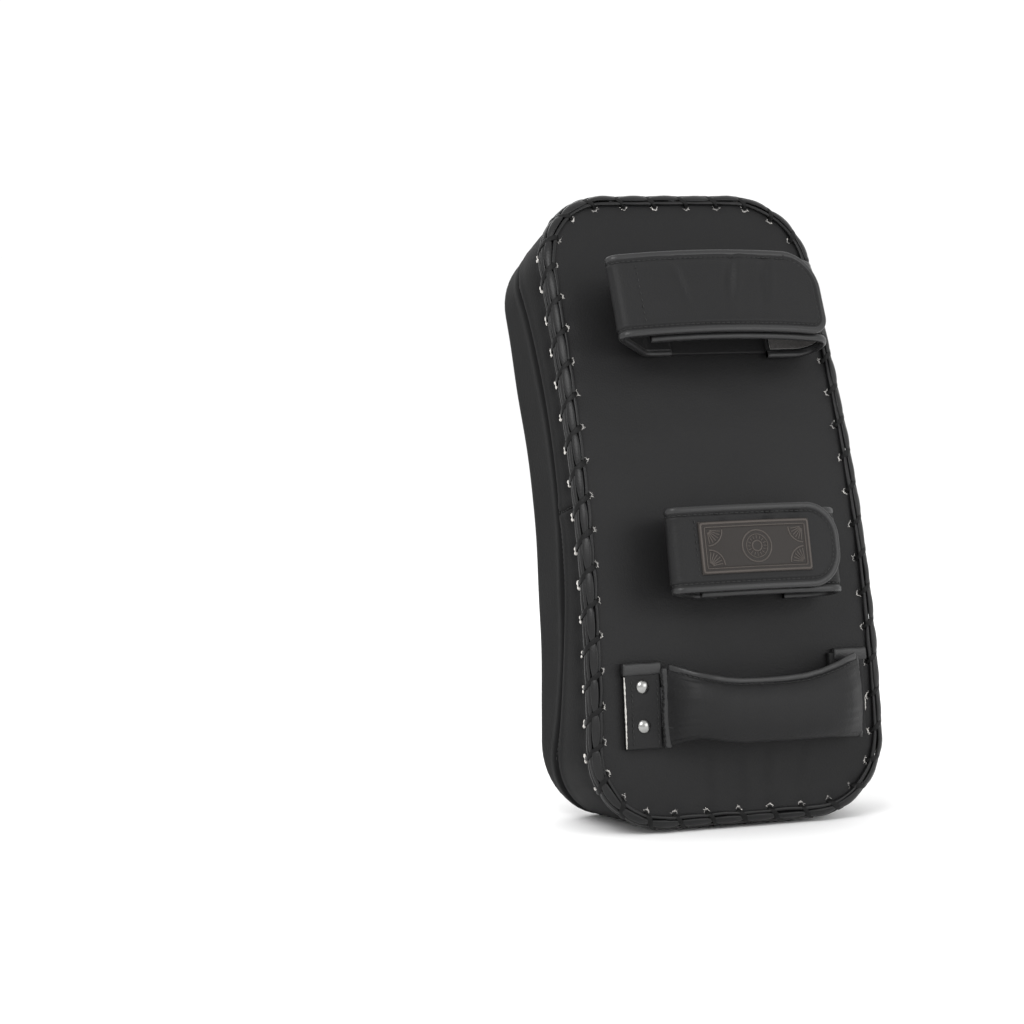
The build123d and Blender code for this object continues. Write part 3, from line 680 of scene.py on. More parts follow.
edge_x, edge_s = edge_loop(0.0)
inner_x, inner_s = edge_loop(0.010)
inwards = unit(np.stack([inner_x - edge_x, inner_s - edge_s], axis=-1))
edge_step = np.hypot(np.diff(edge_x, append=edge_x[0]), np.diff(edge_s, append=edge_s[0]))
edge_run = np.concatenate([[0.0], np.cumsum(edge_step)[:-1]])
PERIMETER = edge_step.sum()
print("outline", len(edge_x), "points,", round(PERIMETER / MM), "mm round")

# %% [markdown]
# The lace passes through one hole on the face and one on the wall at each wrap. The face hole lies a
# little further round than the wall hole, so every wrap crosses the edge at a slant. The holes pull the
# leather down, which gives the edge its gentle scallops.

# %% Where the wraps are
WRAPS = 51
HOLE_INSET, WALL_HOLE = 0.0068, 0.0128  # in from the edge on the face, and down the wall
SLANT = 0.0055  # half of how far a wrap's two holes are apart along the edge
lower_left = int(np.argmin((edge_x + LOW_CENTRE) ** 2 + edge_s**2))
first_run = edge_run[lower_left]
wrap_run = (first_run + (np.arange(WRAPS) + 0.5) / WRAPS * PERIMETER) % PERIMETER


def on_edge(run):
    """Outline place and inward direction at a distance round the outline."""
    run = np.asarray(run) % PERIMETER
    ring = np.append(edge_run, PERIMETER)
    values = [np.append(v, v[0]) for v in (edge_x, edge_s, inwards[:, 0], inwards[:, 1])]
    x, s, in_x, in_s = [np.interp(run, ring, value) for value in values]
    return np.stack([x, s], axis=-1), unit(np.stack([in_x, in_s], axis=-1))


def wrapped(run, others):
    """Shortest distance round the outline to the nearest of the others."""
    gap = abs((run[..., None] - others + PERIMETER / 2) % PERIMETER - PERIMETER / 2)
    return gap.min(-1)


face_hole_place, face_hole_in = on_edge(wrap_run - SLANT)
face_holes = face_hole_place + face_hole_in * HOLE_INSET
print("wraps every", round(PERIMETER / WRAPS / MM, 1), "mm")

# %% [markdown]
# The back panel is nearly flat, since firm foam lies under it, but it isn't dead flat: it dips at every
# lace hole, is pressed in round the sewn straps, and puckers below the grip where the hide was pulled
# over the end. These are all added to one height field before the grid is bent.

# %% The back panel's height
# each pucker's place across, its size in millimetres and its lean
PUCKERS = ((-0.018, 0.9, 0.05), (0.004, 0.7, -0.1), (0.022, 0.8, 0.12), (0.046, 0.6, 0.3))
PRESSED = ((0.321, 0.031), (0.1645, 0.030))  # the straps' places, and how far they press the face in


def near_holes(x, s):
    """How deep the face is pulled in at its lace holes."""
    dip = np.zeros_like(x)
    for hole_x, hole_s in face_holes:
        dip += bell(np.hypot(x - hole_x, s - hole_s), 4.5 * MM)
    return np.minimum(dip, 1.0)


def face_height(x, s):
    """Height of the strap face over its flat pattern."""
    h = 0.35 * MM * wobble(x, s, 0.045, 11) + 0.12 * MM * wobble(x, s, 0.014, 12)
    h = h + 0.5 * MM * (1 - (x / half_width(s)) ** 4)
    for fold_x, size, lean in PUCKERS:
        ridge = bell(x - fold_x - lean * (s - 0.03), 3.6 * MM) - 0.6 * bell(x - fold_x + 5 * MM, 4 * MM)
        h += size * MM * ridge * bell(s - 0.028, 0.017)
    for place, reach in PRESSED:
        h -= 0.5 * MM * bell(np.maximum(abs(s - place) - reach, 0), 6 * MM) * bell(x, 0.1)
    return h - 0.9 * MM * near_holes(x, s)


face_x, face_s = flat_grid(LACED_EDGE)
face_h = face_height(face_x, face_s)
face_points = on_pad(face_x, face_s, face_h)
print("face height mm", (face_h.min() / MM).round(2), "to", (face_h.max() / MM).round(2))

# %% [markdown]
# The walls share their helpers: a place on the wall is found from its inset, its depth and a push that
# moves it outwards. The push adds up the turned-in seams, the slow unevenness and the pull of the lace
# holes. The laced edge is rolled, and the back panel and the gusset meet on that roll, under the lacing.

# %% Walls and the rolled edge
hole_gap = wrapped(edge_run, wrap_run)
wall_gap = wrapped(edge_run, wrap_run + SLANT)
edge_thick = thickness(edge_s)
edge_seam = np.minimum(seam_depth(edge_s), edge_thick - STRIKE_EDGE)


def wall_points(inset, depth, push, tilt):
    """Points of the wall; push moves them outwards, tilt is how much of that is away from the arm."""
    inset, depth = inset - push * np.cos(tilt), depth + push * np.sin(tilt)
    x, s = edge_x + inwards[:, 0] * inset, edge_s + inwards[:, 1] * inset
    return on_pad(x, s, -depth)


def seam_push(distance):
    """The leather turns in at a seam and stands a little proud beside it."""
    return -1.7 * MM * bell(distance, 1.3 * MM) + 0.55 * MM * bell(distance - 4.5 * MM, 3.2 * MM)


def cross_push(s):
    """The same at the cross seam of the two gussets."""
    return seam_push(abs(s - CROSS_SEAM_S))


def wall_bulge(depth):
    """Slow unevenness of the walls, and the pull of the lace holes."""
    slow = 0.5 * MM * wobble(edge_run, depth * np.ones_like(edge_run), 0.05, 21)
    pull = -1.0 * MM * bell(wall_gap, 4.5 * MM) * bell(depth - WALL_HOLE, 5 * MM)
    return slow + pull


def rolled(turn):
    """Ring of the laced edge's roll: turn 0 is on the face, 90 degrees is on the wall."""
    inset = LACED_EDGE * (1 - math.sin(turn))
    depth = LACED_EDGE * (1 - math.cos(turn))
    pinch = -0.5 * MM * bell(hole_gap, 5 * MM)
    return wall_points(inset, depth, pinch, turn - np.pi / 2)


print("seam depth mm", (edge_seam.min() / MM).round(1), "to", (edge_seam.max() / MM).round(1))

# %% [markdown]
# The back panel's grid goes on over the edge as rings of points, down to where the gusset starts. A
# solidify modifier then gives the sheet its thickness, so the leather has a real edge at every opening.

# %% The back panel
EDGE_TURN = math.radians(56)  # where the back panel ends and the gusset starts on the roll


def band_faces(rings):
    """Quads between closed rings of point numbers."""
    around = np.roll(rings, -1, axis=1)
    return np.stack([rings[:-1], rings[1:], around[1:], around[:-1]], axis=-1).reshape(-1, 4)


back_rings = [rolled(turn) for turn in np.linspace(0, EDGE_TURN, 6)[1:]]
count = face_points.size // 3
points = np.concatenate([face_points.reshape(-1, 3), *back_rings])
rings = np.concatenate([loop_index, count + np.arange(len(back_rings) * len(edge_x))])
rings = rings.reshape(-1, len(edge_x))
back_faces = np.concatenate([grid_faces(ROWS, COLUMNS + 1), band_faces(rings)])


def thicken(thing, amount):
    """Gives a sheet its thickness, inwards."""
    modifier = thing.modifiers.new("thickness", "SOLIDIFY")
    modifier.thickness, modifier.offset = amount, -1.0
    view = bpy.context.evaluated_depsgraph_get()
    solid = bpy.data.meshes.new_from_object(thing.evaluated_get(view))
    thing.modifiers.clear()
    thing.data = solid
    solid.shade_smooth()


COVER_LEATHER = 2.0 * MM
back_parts = [(points, back_faces)]
cover_back = piece("cover_back", back_parts, face_leather, "leather", "pad", "back_panel")
thicken(cover_back, COVER_LEATHER)

# %% [markdown]
# A gusset runs round half of the pad, from the laced edge to its seam. Its rings of points crowd
# together at the seam, so that the turned edge stays crisp, and its two ends turn in at the cross seam.

# %% The two gussets
wall_fractions = np.linspace(0, 1, 20)
seam_lines = SEAM_STEPS[::-1]
BELLY_START = 0.012  # depth below which the gusset swells


def gusset_rings():
    """Rings from the rolled edge down to the seam."""
    made = [rolled(turn) for turn in np.linspace(EDGE_TURN, np.pi / 2, 4)[:-1]]
    clear = edge_seam - seam_lines[0] - 1.5 * MM
    depths = [LACED_EDGE + fraction * (clear - LACED_EDGE) for fraction in wall_fractions]
    depths += [edge_seam - line for line in seam_lines] + [edge_seam]
    for depth in depths:
        part = np.clip((depth - BELLY_START) / (edge_seam - BELLY_START), 0, 1)
        belly = 0.9 * MM * np.sin(np.pi * part)
        push = wall_bulge(depth) + belly + seam_push(edge_seam - depth)
        made.append(wall_points(0.0, depth, push + cross_push(edge_s), 0.0))
    return np.stack(made)


wall = gusset_rings()
is_low = edge_s <= CROSS_SEAM_S + 1e-9
is_high = edge_s >= CROSS_SEAM_S - 1e-9
for name, member, node_name in (
    ("cover_gusset_lower", is_low, "lower_gusset"),
    ("cover_gusset_upper", is_high, "upper_gusset"),
):
    begin = int(np.argmax(member & ~np.roll(member, 1)))
    order = (begin + np.arange(len(edge_x))) % len(edge_x)
    order = order[member[order]]
    strip = wall[:, order]
    faces = grid_faces(*strip.shape[:2])[:, ::-1]
    gusset = piece(name, [(strip.reshape(-1, 3), faces)], wall_leather, "wall_leather", "pad", node_name)
    thicken(gusset, COVER_LEATHER)

# %% [markdown]
# The strike panel is one hide: it wraps from the seam on one wall, round the soft rim, over the strike
# side and back up the other wall. Its rim is a roll of 11 mm, and its face is slightly crowned, because
# the softest foam lies there.

# %% The strike panel
ROLL = STRIKE_EDGE * np.pi / 2
wall_left = np.maximum(edge_thick - STRIKE_EDGE - edge_seam, 0.0)
fine_lines = np.concatenate([[0.0], SEAM_STEPS])


def strike_ring(travel):
    """Ring at a distance down from the seam: first on the wall, then round the rim."""
    turn = np.clip((travel - wall_left) / STRIKE_EDGE, 0, np.pi / 2)
    inset = STRIKE_EDGE * (1 - np.cos(turn))
    local = thickness(edge_s + inwards[:, 1] * inset)
    depth = np.where(travel < wall_left, edge_seam + travel, local - STRIKE_EDGE * (1 - np.sin(turn)))
    slow = 0.5 * MM * wobble(edge_run, travel, 0.05, 31) * np.cos(turn) ** 2
    return wall_points(inset, depth, seam_push(travel) + slow, turn)


whole = wall_left + ROLL
strike_rings = [strike_ring(np.full_like(whole, line)) for line in fine_lines]
rest_fractions = np.linspace(0, 1, 26)[1:-1]
strike_rings += [strike_ring(fine_lines[-1] + part * (whole - fine_lines[-1])) for part in rest_fractions]
strike_x, strike_s = flat_grid(STRIKE_EDGE)
rim_ease = np.minimum(1 - abs(across), 0.25) / 0.25
end_ease = np.clip(np.minimum(strike_s, LENGTH - strike_s) / 0.05, 0, 1)
crown = 1.6 * MM * (rim_ease * (2 - rim_ease)) * end_ease
crown = crown + 0.5 * MM * wobble(strike_x, strike_s, 0.06, 41) * rim_ease * end_ease
strike_points = on_pad(strike_x, strike_s, -thickness(strike_s.ravel()).reshape(strike_s.shape) - crown)
points = np.concatenate([strike_points.reshape(-1, 3), *strike_rings])
rings = [count + index * len(edge_x) + np.arange(len(edge_x)) for index in range(len(strike_rings))]
rings = np.stack([*rings, loop_index])
strike_faces = np.concatenate([grid_faces(ROWS, COLUMNS + 1)[:, ::-1], band_faces(rings)])
cover_strike = piece(
    "cover_strike", [(points, strike_faces)], wall_leather, "wall_leather", "pad", "strike_panel"
)
thicken(cover_strike, COVER_LEATHER)

# %% [markdown]
# Four flat strands of leather run round the edge under the wraps. Between two wraps a strand swells and
# lies broad like a leaf, and at a wrap it is pinched thin. So each strand is a closed tube whose width,
# thickness and distance from the edge follow the same rhythm. The second strand is the broad one that
# catches the light.

# %% The edge lacing: strands


def over_edge(run, radius, turn):
    """Places round the rolled edge: turn 0 is over the face, 90 degrees is beside the wall."""
    place, inward = on_edge(run)
    inset = LACED_EDGE - radius * np.sin(turn)
    height = radius * np.cos(turn) - LACED_EDGE
    return on_pad(place[:, 0] + inward[:, 0] * inset, place[:, 1] + inward[:, 1] * inset, height)


PITCH = PERIMETER / WRAPS
STRAND_STEPS = 16
MIDDLE_TURN = math.radians(40)  # the strands crowd towards this under a wrap


def lace_strand(turn_degrees, broad, thin, bulge, seed):
    """One strand of the lacing, pinched at every wrap."""
    run = first_run + np.arange(WRAPS * STRAND_STEPS) / STRAND_STEPS * PITCH
    turn = math.radians(turn_degrees)
    shift = SLANT * (2 * turn / (np.pi / 2) - 1)
    between = ((run - first_run - shift) / PITCH - 0.5) % 1.0
    which = ((run - first_run - shift) / PITCH - 0.5).astype(int) % WRAPS
    draw = np.random.default_rng(seed)
    varied = draw.uniform(-1, 1, (3, WRAPS))[:, which]
    swell = np.sin(np.pi * between**0.85) ** 0.5
    wide = thin + (broad * (1 + 0.14 * varied[0]) - thin) * swell
    thick = (0.75 + 0.35 * swell) * MM
    angle = MIDDLE_TURN + (turn - MIDDLE_TURN) * (0.84 + 0.16 * swell) + 0.07 * varied[1] * swell
    radius = LACED_EDGE + thick + 0.25 * MM + bulge * (1 + 0.25 * varied[2]) * swell
    path = over_edge(run, radius, angle)
    up = unit(over_edge(run, radius + MM, angle) - path)
    return tube(path, up, wide, thick, ring=12, closed=True, power=0.75)


strands = [
    lace_strand(1, 1.25 * MM, 0.95 * MM, 0.1 * MM, 51),
    lace_strand(33, 2.7 * MM, 0.9 * MM, 0.95 * MM, 52),
    lace_strand(65, 1.5 * MM, 1.0 * MM, 0.35 * MM, 53),
    lace_strand(90, 1.2 * MM, 0.9 * MM, 0.1 * MM, 54),
]
piece("edge_lacing_strands", strands, lace_leather, "lace", "pad", "lace_strands")

# %% [markdown]
# A wrap comes up out of its face hole, bends flat on to the face, arches over the strands and dives into
# its wall hole. Its path is drawn in the edge's own section and carried ahead along the edge, so it
# slants. Each wrap gets its own small shift and width, or the row would look machine made.

# %% The edge lacing: wraps
WRAP_ARCH = 7.25 * MM  # from the edge's centre to the middle of a wrap


def lace_wrap(run, seed):
    """One flat lace out of the face hole, slanting over the edge and into the wall hole."""
    draw = np.random.default_rng(seed)
    arc = np.radians(np.linspace(4, 86, 9))
    face_side = [
        (HOLE_INSET + 0.2 * MM, -2.4 * MM),
        (HOLE_INSET - 0.3 * MM, 0.0),
        (HOLE_INSET - 1.9 * MM, 1.3 * MM),
    ]
    arched = [
        (LACED_EDGE - WRAP_ARCH * math.sin(a), WRAP_ARCH * math.cos(a) - LACED_EDGE) for a in arc
    ]
    wall_side = [
        (-1.3 * MM, 3.4 * MM - WALL_HOLE),
        (0.0, 0.3 * MM - WALL_HOLE),
        (2.4 * MM, -WALL_HOLE - 0.2 * MM),
    ]
    across_edge = np.array(face_side + arched + wall_side)
    ahead = np.clip(np.linspace(-1.25, 1.25, len(across_edge)), -1, 1) * SLANT
    ahead = ahead + draw.uniform(-0.5, 0.5) * MM
    place, inward = on_edge(run + ahead)
    flat = place + inward * across_edge[:, :1]
    path = on_pad(flat[:, 0], flat[:, 1], across_edge[:, 1])
    centre_flat = place + inward * LACED_EDGE
    up = path - on_pad(centre_flat[:, 0], centre_flat[:, 1], -LACED_EDGE)
    taper = np.interp(np.arange(len(path)), [0, 2, 7, 12, 14], [0.6, 0.9, 1, 0.9, 0.6])
    wide = (1.75 + draw.uniform(-0.2, 0.3)) * MM * taper
    return tube(path, unit(up), wide, 0.55 * MM, ring=12, power=0.7)


wraps = [lace_wrap(run, 600 + index) for index, run in enumerate(wrap_run)]
piece("edge_lacing_wraps", wraps, shaded_wrap_leather, "lace", "pad", "lace_wraps")

# %% [markdown]
# The dyed skin tears a little where the awl went through, and shows the white of the raw hide. On the
# face each hole gets two broken rings whose thickness varies, and a few loose fibres.

# %% Torn rims of the face holes
RIM_POINTS = 13


def torn_rim(centre, along, away, out, seed, radius, fat):
    """Two broken rings of raw hide round a hole, open towards the lace, with a few fibres."""
    draw = np.random.default_rng(seed)
    parts = []
    for _ in range(2):
        spread, lead = draw.uniform(1.7, 2.6), draw.uniform(-0.7, 0.7)
        angle = np.linspace(lead - spread / 2 * 1.3, lead + spread / 2 * 1.3, RIM_POINTS)
        waves = 0.16 * np.sin(angle * 5 + draw.uniform(0, 6))
        reach = radius * (1 + waves + 0.1 * draw.uniform(-1, 1, RIM_POINTS))
        ring = reach[:, None] * (np.cos(angle)[:, None] * away + np.sin(angle)[:, None] * along)
        lift = (0.12 + 0.22 * draw.uniform(0, 1, RIM_POINTS)) * MM
        path = centre + ring + lift[:, None] * out
        body = fat * np.sin(np.linspace(0.12, np.pi - 0.12, RIM_POINTS))
        body = body * draw.uniform(0.6, 1.2, RIM_POINTS)
        parts.append(tube(path, np.broadcast_to(out, path.shape), body, 0.6 * body, ring=6))
    for _ in range(draw.integers(2, 5)):
        angle = draw.uniform(-1.9, 1.9)
        ray = math.cos(angle) * away + math.sin(angle) * along
        bend = draw.uniform(-0.4, 0.4) * np.cross(out, ray)
        steps = np.linspace(0, 1, 4)[:, None]
        reach = draw.uniform(0.6, 1.7) * MM
        path = centre + ray * (radius + reach * steps) + bend * steps**2 * MM
        path = path + (0.15 + 0.35 * steps) * MM * out
        thin = 0.24 * MM * (1.15 - steps[:, 0])
        parts.append(tube(path, np.broadcast_to(out, path.shape), thin, 0.14 * MM, ring=5))
    return parts


FACE_HOLE_SEED = 700
lace_draw = np.random.default_rng(5)
face_rims, dull_rims = [], []
rim_height = face_height(face_holes[:, 0], face_holes[:, 1])
rim_points = on_pad(face_holes[:, 0], face_holes[:, 1], rim_height)
for index in range(WRAPS):
    s = face_holes[index, 1]
    up_pad, out = along_face(s), out_of_face(s)
    away = face_hole_in[index, 0] * ACROSS_PAD + face_hole_in[index, 1] * up_pad
    size = 1.75 * MM * lace_draw.uniform(0.85, 1.2)
    fat = lace_draw.uniform(0.16, 0.42) * MM
    kind = lace_draw.uniform()
    seed = FACE_HOLE_SEED + index
    made = torn_rim(rim_points[index], np.cross(out, away), away, out, seed, size, fat)
    if kind < 0.45:
        face_rims += made[1:]
        dull_rims += made[:1]
    else:
        dull_rims += made[:-2]
        face_rims += made[-2:]
piece("face_hole_rims", face_rims, raw_hide, "leather", "pad")
piece("face_hole_dull_rims", dull_rims, dull_hide, "leather", "pad")

# %% [markdown]
# On the wall the lace is pulled in hard, and the torn skin is pushed up beside it as one small frayed
# lump. It is a ball drawn out along the edge, made ragged by waves, with a dent where the lace goes in.

# %% Torn lumps of the wall holes


def torn_lump(centre, along, away, out, seed):
    """A frayed lump of raw hide beside a wall hole, with a dent where the lace goes in."""
    draw = np.random.default_rng(seed)
    poles, girth = np.linspace(0.04, np.pi - 0.04, 14), np.linspace(0, 2 * np.pi, 20, endpoint=False)
    u, v = np.meshgrid(poles, girth, indexing="ij")
    ragged = 1 + 0.13 * np.sin(3 * v + draw.uniform(0, 6)) * np.sin(2 * u) + 0.09 * np.sin(7 * v + 5 * u)
    tall, wide, high = (draw.uniform(*span) * MM for span in ((2.3, 3.1), (1.2, 1.7), (1.1, 1.5)))
    dent = 1 - 0.75 * bell(np.cos(u) * tall, 0.8 * MM) * (np.sin(v) > 0)
    lean = draw.uniform(-0.25, 0.25)
    x, y, z = np.cos(u), np.sin(u) * np.cos(v), np.sin(u) * np.sin(v) * dent
    leant_x = x * math.cos(lean) * tall - y * math.sin(lean) * wide
    leant_y = x * math.sin(lean) * tall + y * math.cos(lean) * wide
    rings = centre + (ragged * leant_x)[..., None] * along + (ragged * leant_y)[..., None] * away
    return closed_ends(rings + (ragged * z * high)[..., None] * out)


WALL_HOLE_SEED = 800
wall_rims = []
wall_hole_place, wall_hole_in = on_edge(wrap_run + SLANT)
for index in range(WRAPS):
    place, inward = wall_hole_place[index], wall_hole_in[index]
    up_pad, out_face = along_face(place[1]), out_of_face(place[1])
    out = -(inward[0] * ACROSS_PAD + inward[1] * up_pad)
    centre = on_pad(place[0], place[1], -WALL_HOLE - 1.2 * MM) - 0.5 * MM * out
    along = np.cross(out, -out_face)
    wall_rims.append(torn_lump(centre, along, -out_face, out, WALL_HOLE_SEED + index))
piece("wall_hole_rims", wall_rims, raw_hide, "wall_leather", "pad")

# %% [markdown]
# Sewing is shown stitch by stitch: short capsules of thread that dive into the leather at both ends. The
# same helper sews the gusset seams, the straps, the grip and its ends, so it takes any line on a surface
# with the direction that points out of it.

# %% Stitches


def stitches(line, out, pitch=3.6 * MM, length=2.5 * MM, radius=0.36 * MM, closed=False):
    """Stitches along a line of points; out holds the direction off the surface at each point."""
    line, out = np.asarray(line), np.asarray(out)
    if closed:
        line, out = np.vstack([line, line[:1]]), np.vstack([out, out[:1]])
    travel = np.concatenate([[0], np.cumsum(np.linalg.norm(np.diff(line, axis=0), axis=1))])
    count = max(int(travel[-1] // pitch), 1)
    parts = []
    steps = np.array([-0.5, -0.32, 0.0, 0.32, 0.5])
    lift = np.array([-0.9, 0.15, 0.35, 0.15, -0.9]) * radius
    for middle_at in (np.arange(count) + 0.5) / count * travel[-1]:
        at = middle_at + steps * length
        path = np.stack([np.interp(at, travel, line[:, axis]) for axis in range(3)], axis=-1)
        off = unit(np.stack([np.interp(at, travel, out[:, axis]) for axis in range(3)], axis=-1))
        path = path + off * lift[:, None]
        if np.linalg.norm(path[0] - path[-1]) < 0.4 * length:
            continue
        parts.append(tube(path, off, radius, 0.8 * radius, ring=6))
    return parts


def seam_line(low, high):
    """The gusset seam's line on the wall between two places along the pad, on both side walls."""
    s = np.linspace(low, high, 160)
    for way in (-1, 1):
        line = on_pad(way * half_width(s, 1.1 * MM), s, -seam_depth(s))
        yield line, np.broadcast_to([way, 0, 0], line.shape)


seam_threads = []
for line, out in seam_line(CORNER * 0.8, LENGTH - CORNER * 0.8):
    seam_threads += stitches(line, out, pitch=3.2 * MM, length=2.2 * MM, radius=0.3 * MM)
for way in (-1, 1):
    line = on_pad(way * half_width(CROSS_SEAM_S, 1.1 * MM), CROSS_SEAM_S, -np.linspace(0.012, 0.034, 30))
    out = np.broadcast_to([way, 0, 0], line.shape)
    seam_threads += stitches(line, out, pitch=3.2 * MM, length=2.2 * MM, radius=0.3 * MM)
piece("gusset_seam_stitches", seam_threads, thread, "binding", "pad")

# %% [markdown]
# A strap is two folded pieces. The outer one starts flat on the pad, rises, turns over the arm and ends
# as the flap with the hooks. The under one rises at the other side and carries the loop tape. Each route
# is drawn in the strap's own cross-section, with x across the pad and h above its face. Corners are
# rounded by arcs and then relaxed a little, since leather never folds in true arcs.

# %% The two straps' places
STRAP_LEATHER, FOOT = 3.0 * MM, 5.0 * MM
FLAP_LEVEL, UNDER_LEVEL = 31.3 * MM, 26.0 * MM
BOUND_WIDTH, BOUND_RISE = 4.5 * MM, 0.65 * MM


class Strap:
    """One strap's places in metres: x across the pad, s along it."""

    def __init__(self, name, s, width, root, hinge, tip, under, tip_radii, rise):
        self.name, self.s, self.width = name, s * MM, width * MM
        self.hinge, self.tip = hinge * MM, tip * MM
        self.root_foot, self.root_low, self.root_side = [value * MM for value in root]
        self.under_foot, self.under_side, self.under_tip = [value * MM for value in under]
        self.low_radius, self.high_radius = [value * MM for value in tip_radii]
        self.rise = rise * MM

    def crown(self, x, level):
        """Height at x of a surface that lies at this level at the strap's sides."""
        half = (self.under_side - self.hinge + 14 * MM) / 2
        radius = (half**2 + self.rise**2) / (2 * self.rise)
        return level + np.sqrt(radius**2 - (x - self.under_side + half) ** 2) - radius + self.rise

    def place(self, across, height, along):
        """Points in space; along runs across the strap's width."""
        base = on_pad(across, self.s, height)
        return base + np.asarray(along)[..., None] * along_face(self.s)

    def out(self, normal):
        """Directions in space of (x, h) directions in the strap's cross-section."""
        return normal[..., :1] * ACROSS_PAD + normal[..., 1:] * out_of_face(self.s)


# In millimetres. A root has its foot, low and side places; an under strap its foot, side and tip.
forearm = Strap(
    "forearm", s=321, width=54, root=(-20, -40, -68), hinge=-59, tip=75.5,
    under=(47, 79, -46), tip_radii=(11, 24), rise=9,
)
wrist = Strap(
    "wrist", s=164.5, width=52, root=(-12, -31, -55.5), hinge=-47, tip=60,
    under=(34, 64.5, -35), tip_radii=(22, 22), rise=5,
)
print("strap widths mm:", round(forearm.width / MM), round(wrist.width / MM))

# %% [markdown]
# A route starts at the foot, which is sewn flat on the pad, and goes through two corners: the fold where
# the leather leaves the pad, and the fold where it turns over the arm. From there it follows the crown.

# %% Strap routes


def rounded(corners, radii):
    """A path through corners (x, h), each turned by an arc."""
    corners = [np.array(corner) for corner in corners]
    points = [corners[:1]]
    for before, corner, after, radius in zip(corners, corners[1:], corners[2:], radii):
        into, leave = unit(corner - before), unit(after - corner)
        turn = math.atan2(into[0] * leave[1] - into[1] * leave[0], into @ leave)
        normal = math.copysign(1, turn) * np.array([-into[1], into[0]])
        begin = corner - into * radius * math.tan(abs(turn) / 2)
        angle = np.linspace(0, abs(turn), 16)[:, None]
        points.append(begin + radius * (np.sin(angle) * into + (1 - np.cos(angle)) * normal))
    return np.concatenate(points + [corners[-1:]])


def spaced(path, step):
    """The same path with evenly spaced points, a little relaxed."""
    travel = np.concatenate([[0], np.cumsum(np.linalg.norm(np.diff(path, axis=0), axis=1))])
    marks_on = np.linspace(0, travel[-1], int(travel[-1] / step) + 1)
    path = np.stack([np.interp(marks_on, travel, path[:, axis]) for axis in (0, 1)], axis=-1)
    for _ in range(4):
        path[1:-1] = (path[:-2] + 2 * path[1:-1] + path[2:]) / 4
    return path


def folded(strap, foot, low, side, turn_x, end_x, level, radii):
    """Surface towards the arm of a folded piece: foot, side and crown; low is the side's lower end."""
    outwards = 1 if side > foot else -1
    top = strap.crown(turn_x, level)
    slope = (strap.crown(turn_x + 0.01 * MM, level) - top) / (0.01 * MM)
    lean_out = side + outwards * MM
    corners = [(foot, FOOT), (low, FOOT), (lean_out, top + slope * (lean_out - turn_x)), (turn_x, top)]
    over = np.linspace(turn_x, end_x, 120)[1:]
    path = np.concatenate([rounded(corners, radii), np.stack([over, strap.crown(over, level)], axis=-1)])
    return spaced(path, 1.0 * MM)


def outer_route(strap):
    """The root and the flap in one."""
    low, side = strap.root_low + STRAP_LEATHER, strap.root_side + STRAP_LEATHER
    radii = (7 * MM, 2.3 * MM)
    return folded(strap, strap.root_foot, low, side, strap.hinge, strap.tip, FLAP_LEVEL, radii)


def under_route(strap):
    """The under strap, up to its end under the flap."""
    side, radii = strap.under_side - STRAP_LEATHER, (11 * MM, 9 * MM)
    turn_x = side - 16 * MM
    return folded(strap, strap.under_foot, side, side, turn_x, strap.under_tip, UNDER_LEVEL, radii)


def outwards_of(path, sign):
    """Unit normals of a path, on the side away from the arm."""
    run = unit(np.gradient(path, axis=0))
    return sign * np.stack([run[:, 1], -run[:, 0]], axis=-1)


for strap in (forearm, wrist):
    flap_length, under_length = len(outer_route(strap)), len(under_route(strap))
    print(strap.name, "flap", flap_length, "mm long, under strap", under_length, "mm")

# %% [markdown]
# A strap piece is a closed slab laid along its route. Its half width narrows round the flap's tip, and
# its outer face swells a little between its stitched edges, with a few shallow creases where the leather
# has been bent over an arm. Points crowd together at the stitched edges, where the groove is narrow.

# %% Strap outlines and their outer face
SEWN_IN, TIP_STEPS = 4.9 * MM, 26
UNDER_SHIFT = -2.6 * MM  # the under straps show below the flaps' lower edges
HALF_STRAP = 27 * MM
near_rim = 1 - (SEWN_IN + np.array([-1.6, -1.0, -0.5, 0.0, 0.5, 1.0, 1.6, 2.6]) * MM) / HALF_STRAP
inner_part, outer_part = np.linspace(-0.7, 0.7, 21), [-1, -0.96, 0.96, 1]
ACROSS = np.unique(np.concatenate([inner_part, near_rim, -near_rim, outer_part]))


def tip_half(strap, x, radius):
    """Half width at x, rounded off at the flap's tip."""
    past = np.clip(x - (strap.tip - radius), 0, radius)
    return strap.width / 2 - radius + np.sqrt(np.maximum(radius**2 - past**2, 0))


def flap_places(strap):
    """The outer route with points close together at the tip."""
    path = outer_route(strap)
    radius = strap.high_radius
    tip_x = strap.tip - radius * (1 - np.sin(np.linspace(0, np.pi / 2, TIP_STEPS)))
    first_over = int(np.argmax(path[:, 1] > FLAP_LEVEL))
    keep = (np.arange(len(path)) < first_over) | (path[:, 0] < tip_x[0] - 0.5 * MM)
    return np.concatenate([path[keep], np.stack([tip_x, strap.crown(tip_x, FLAP_LEVEL)], axis=-1)])


def flap_grid(strap, path):
    """How far each point of the flap lies across the strap, for a low and a high tip corner."""
    low, high = [tip_half(strap, path[:, 0], radius) for radius in (strap.low_radius, strap.high_radius)]
    return np.where(ACROSS < 0, ACROSS * low[:, None], ACROSS * high[:, None])


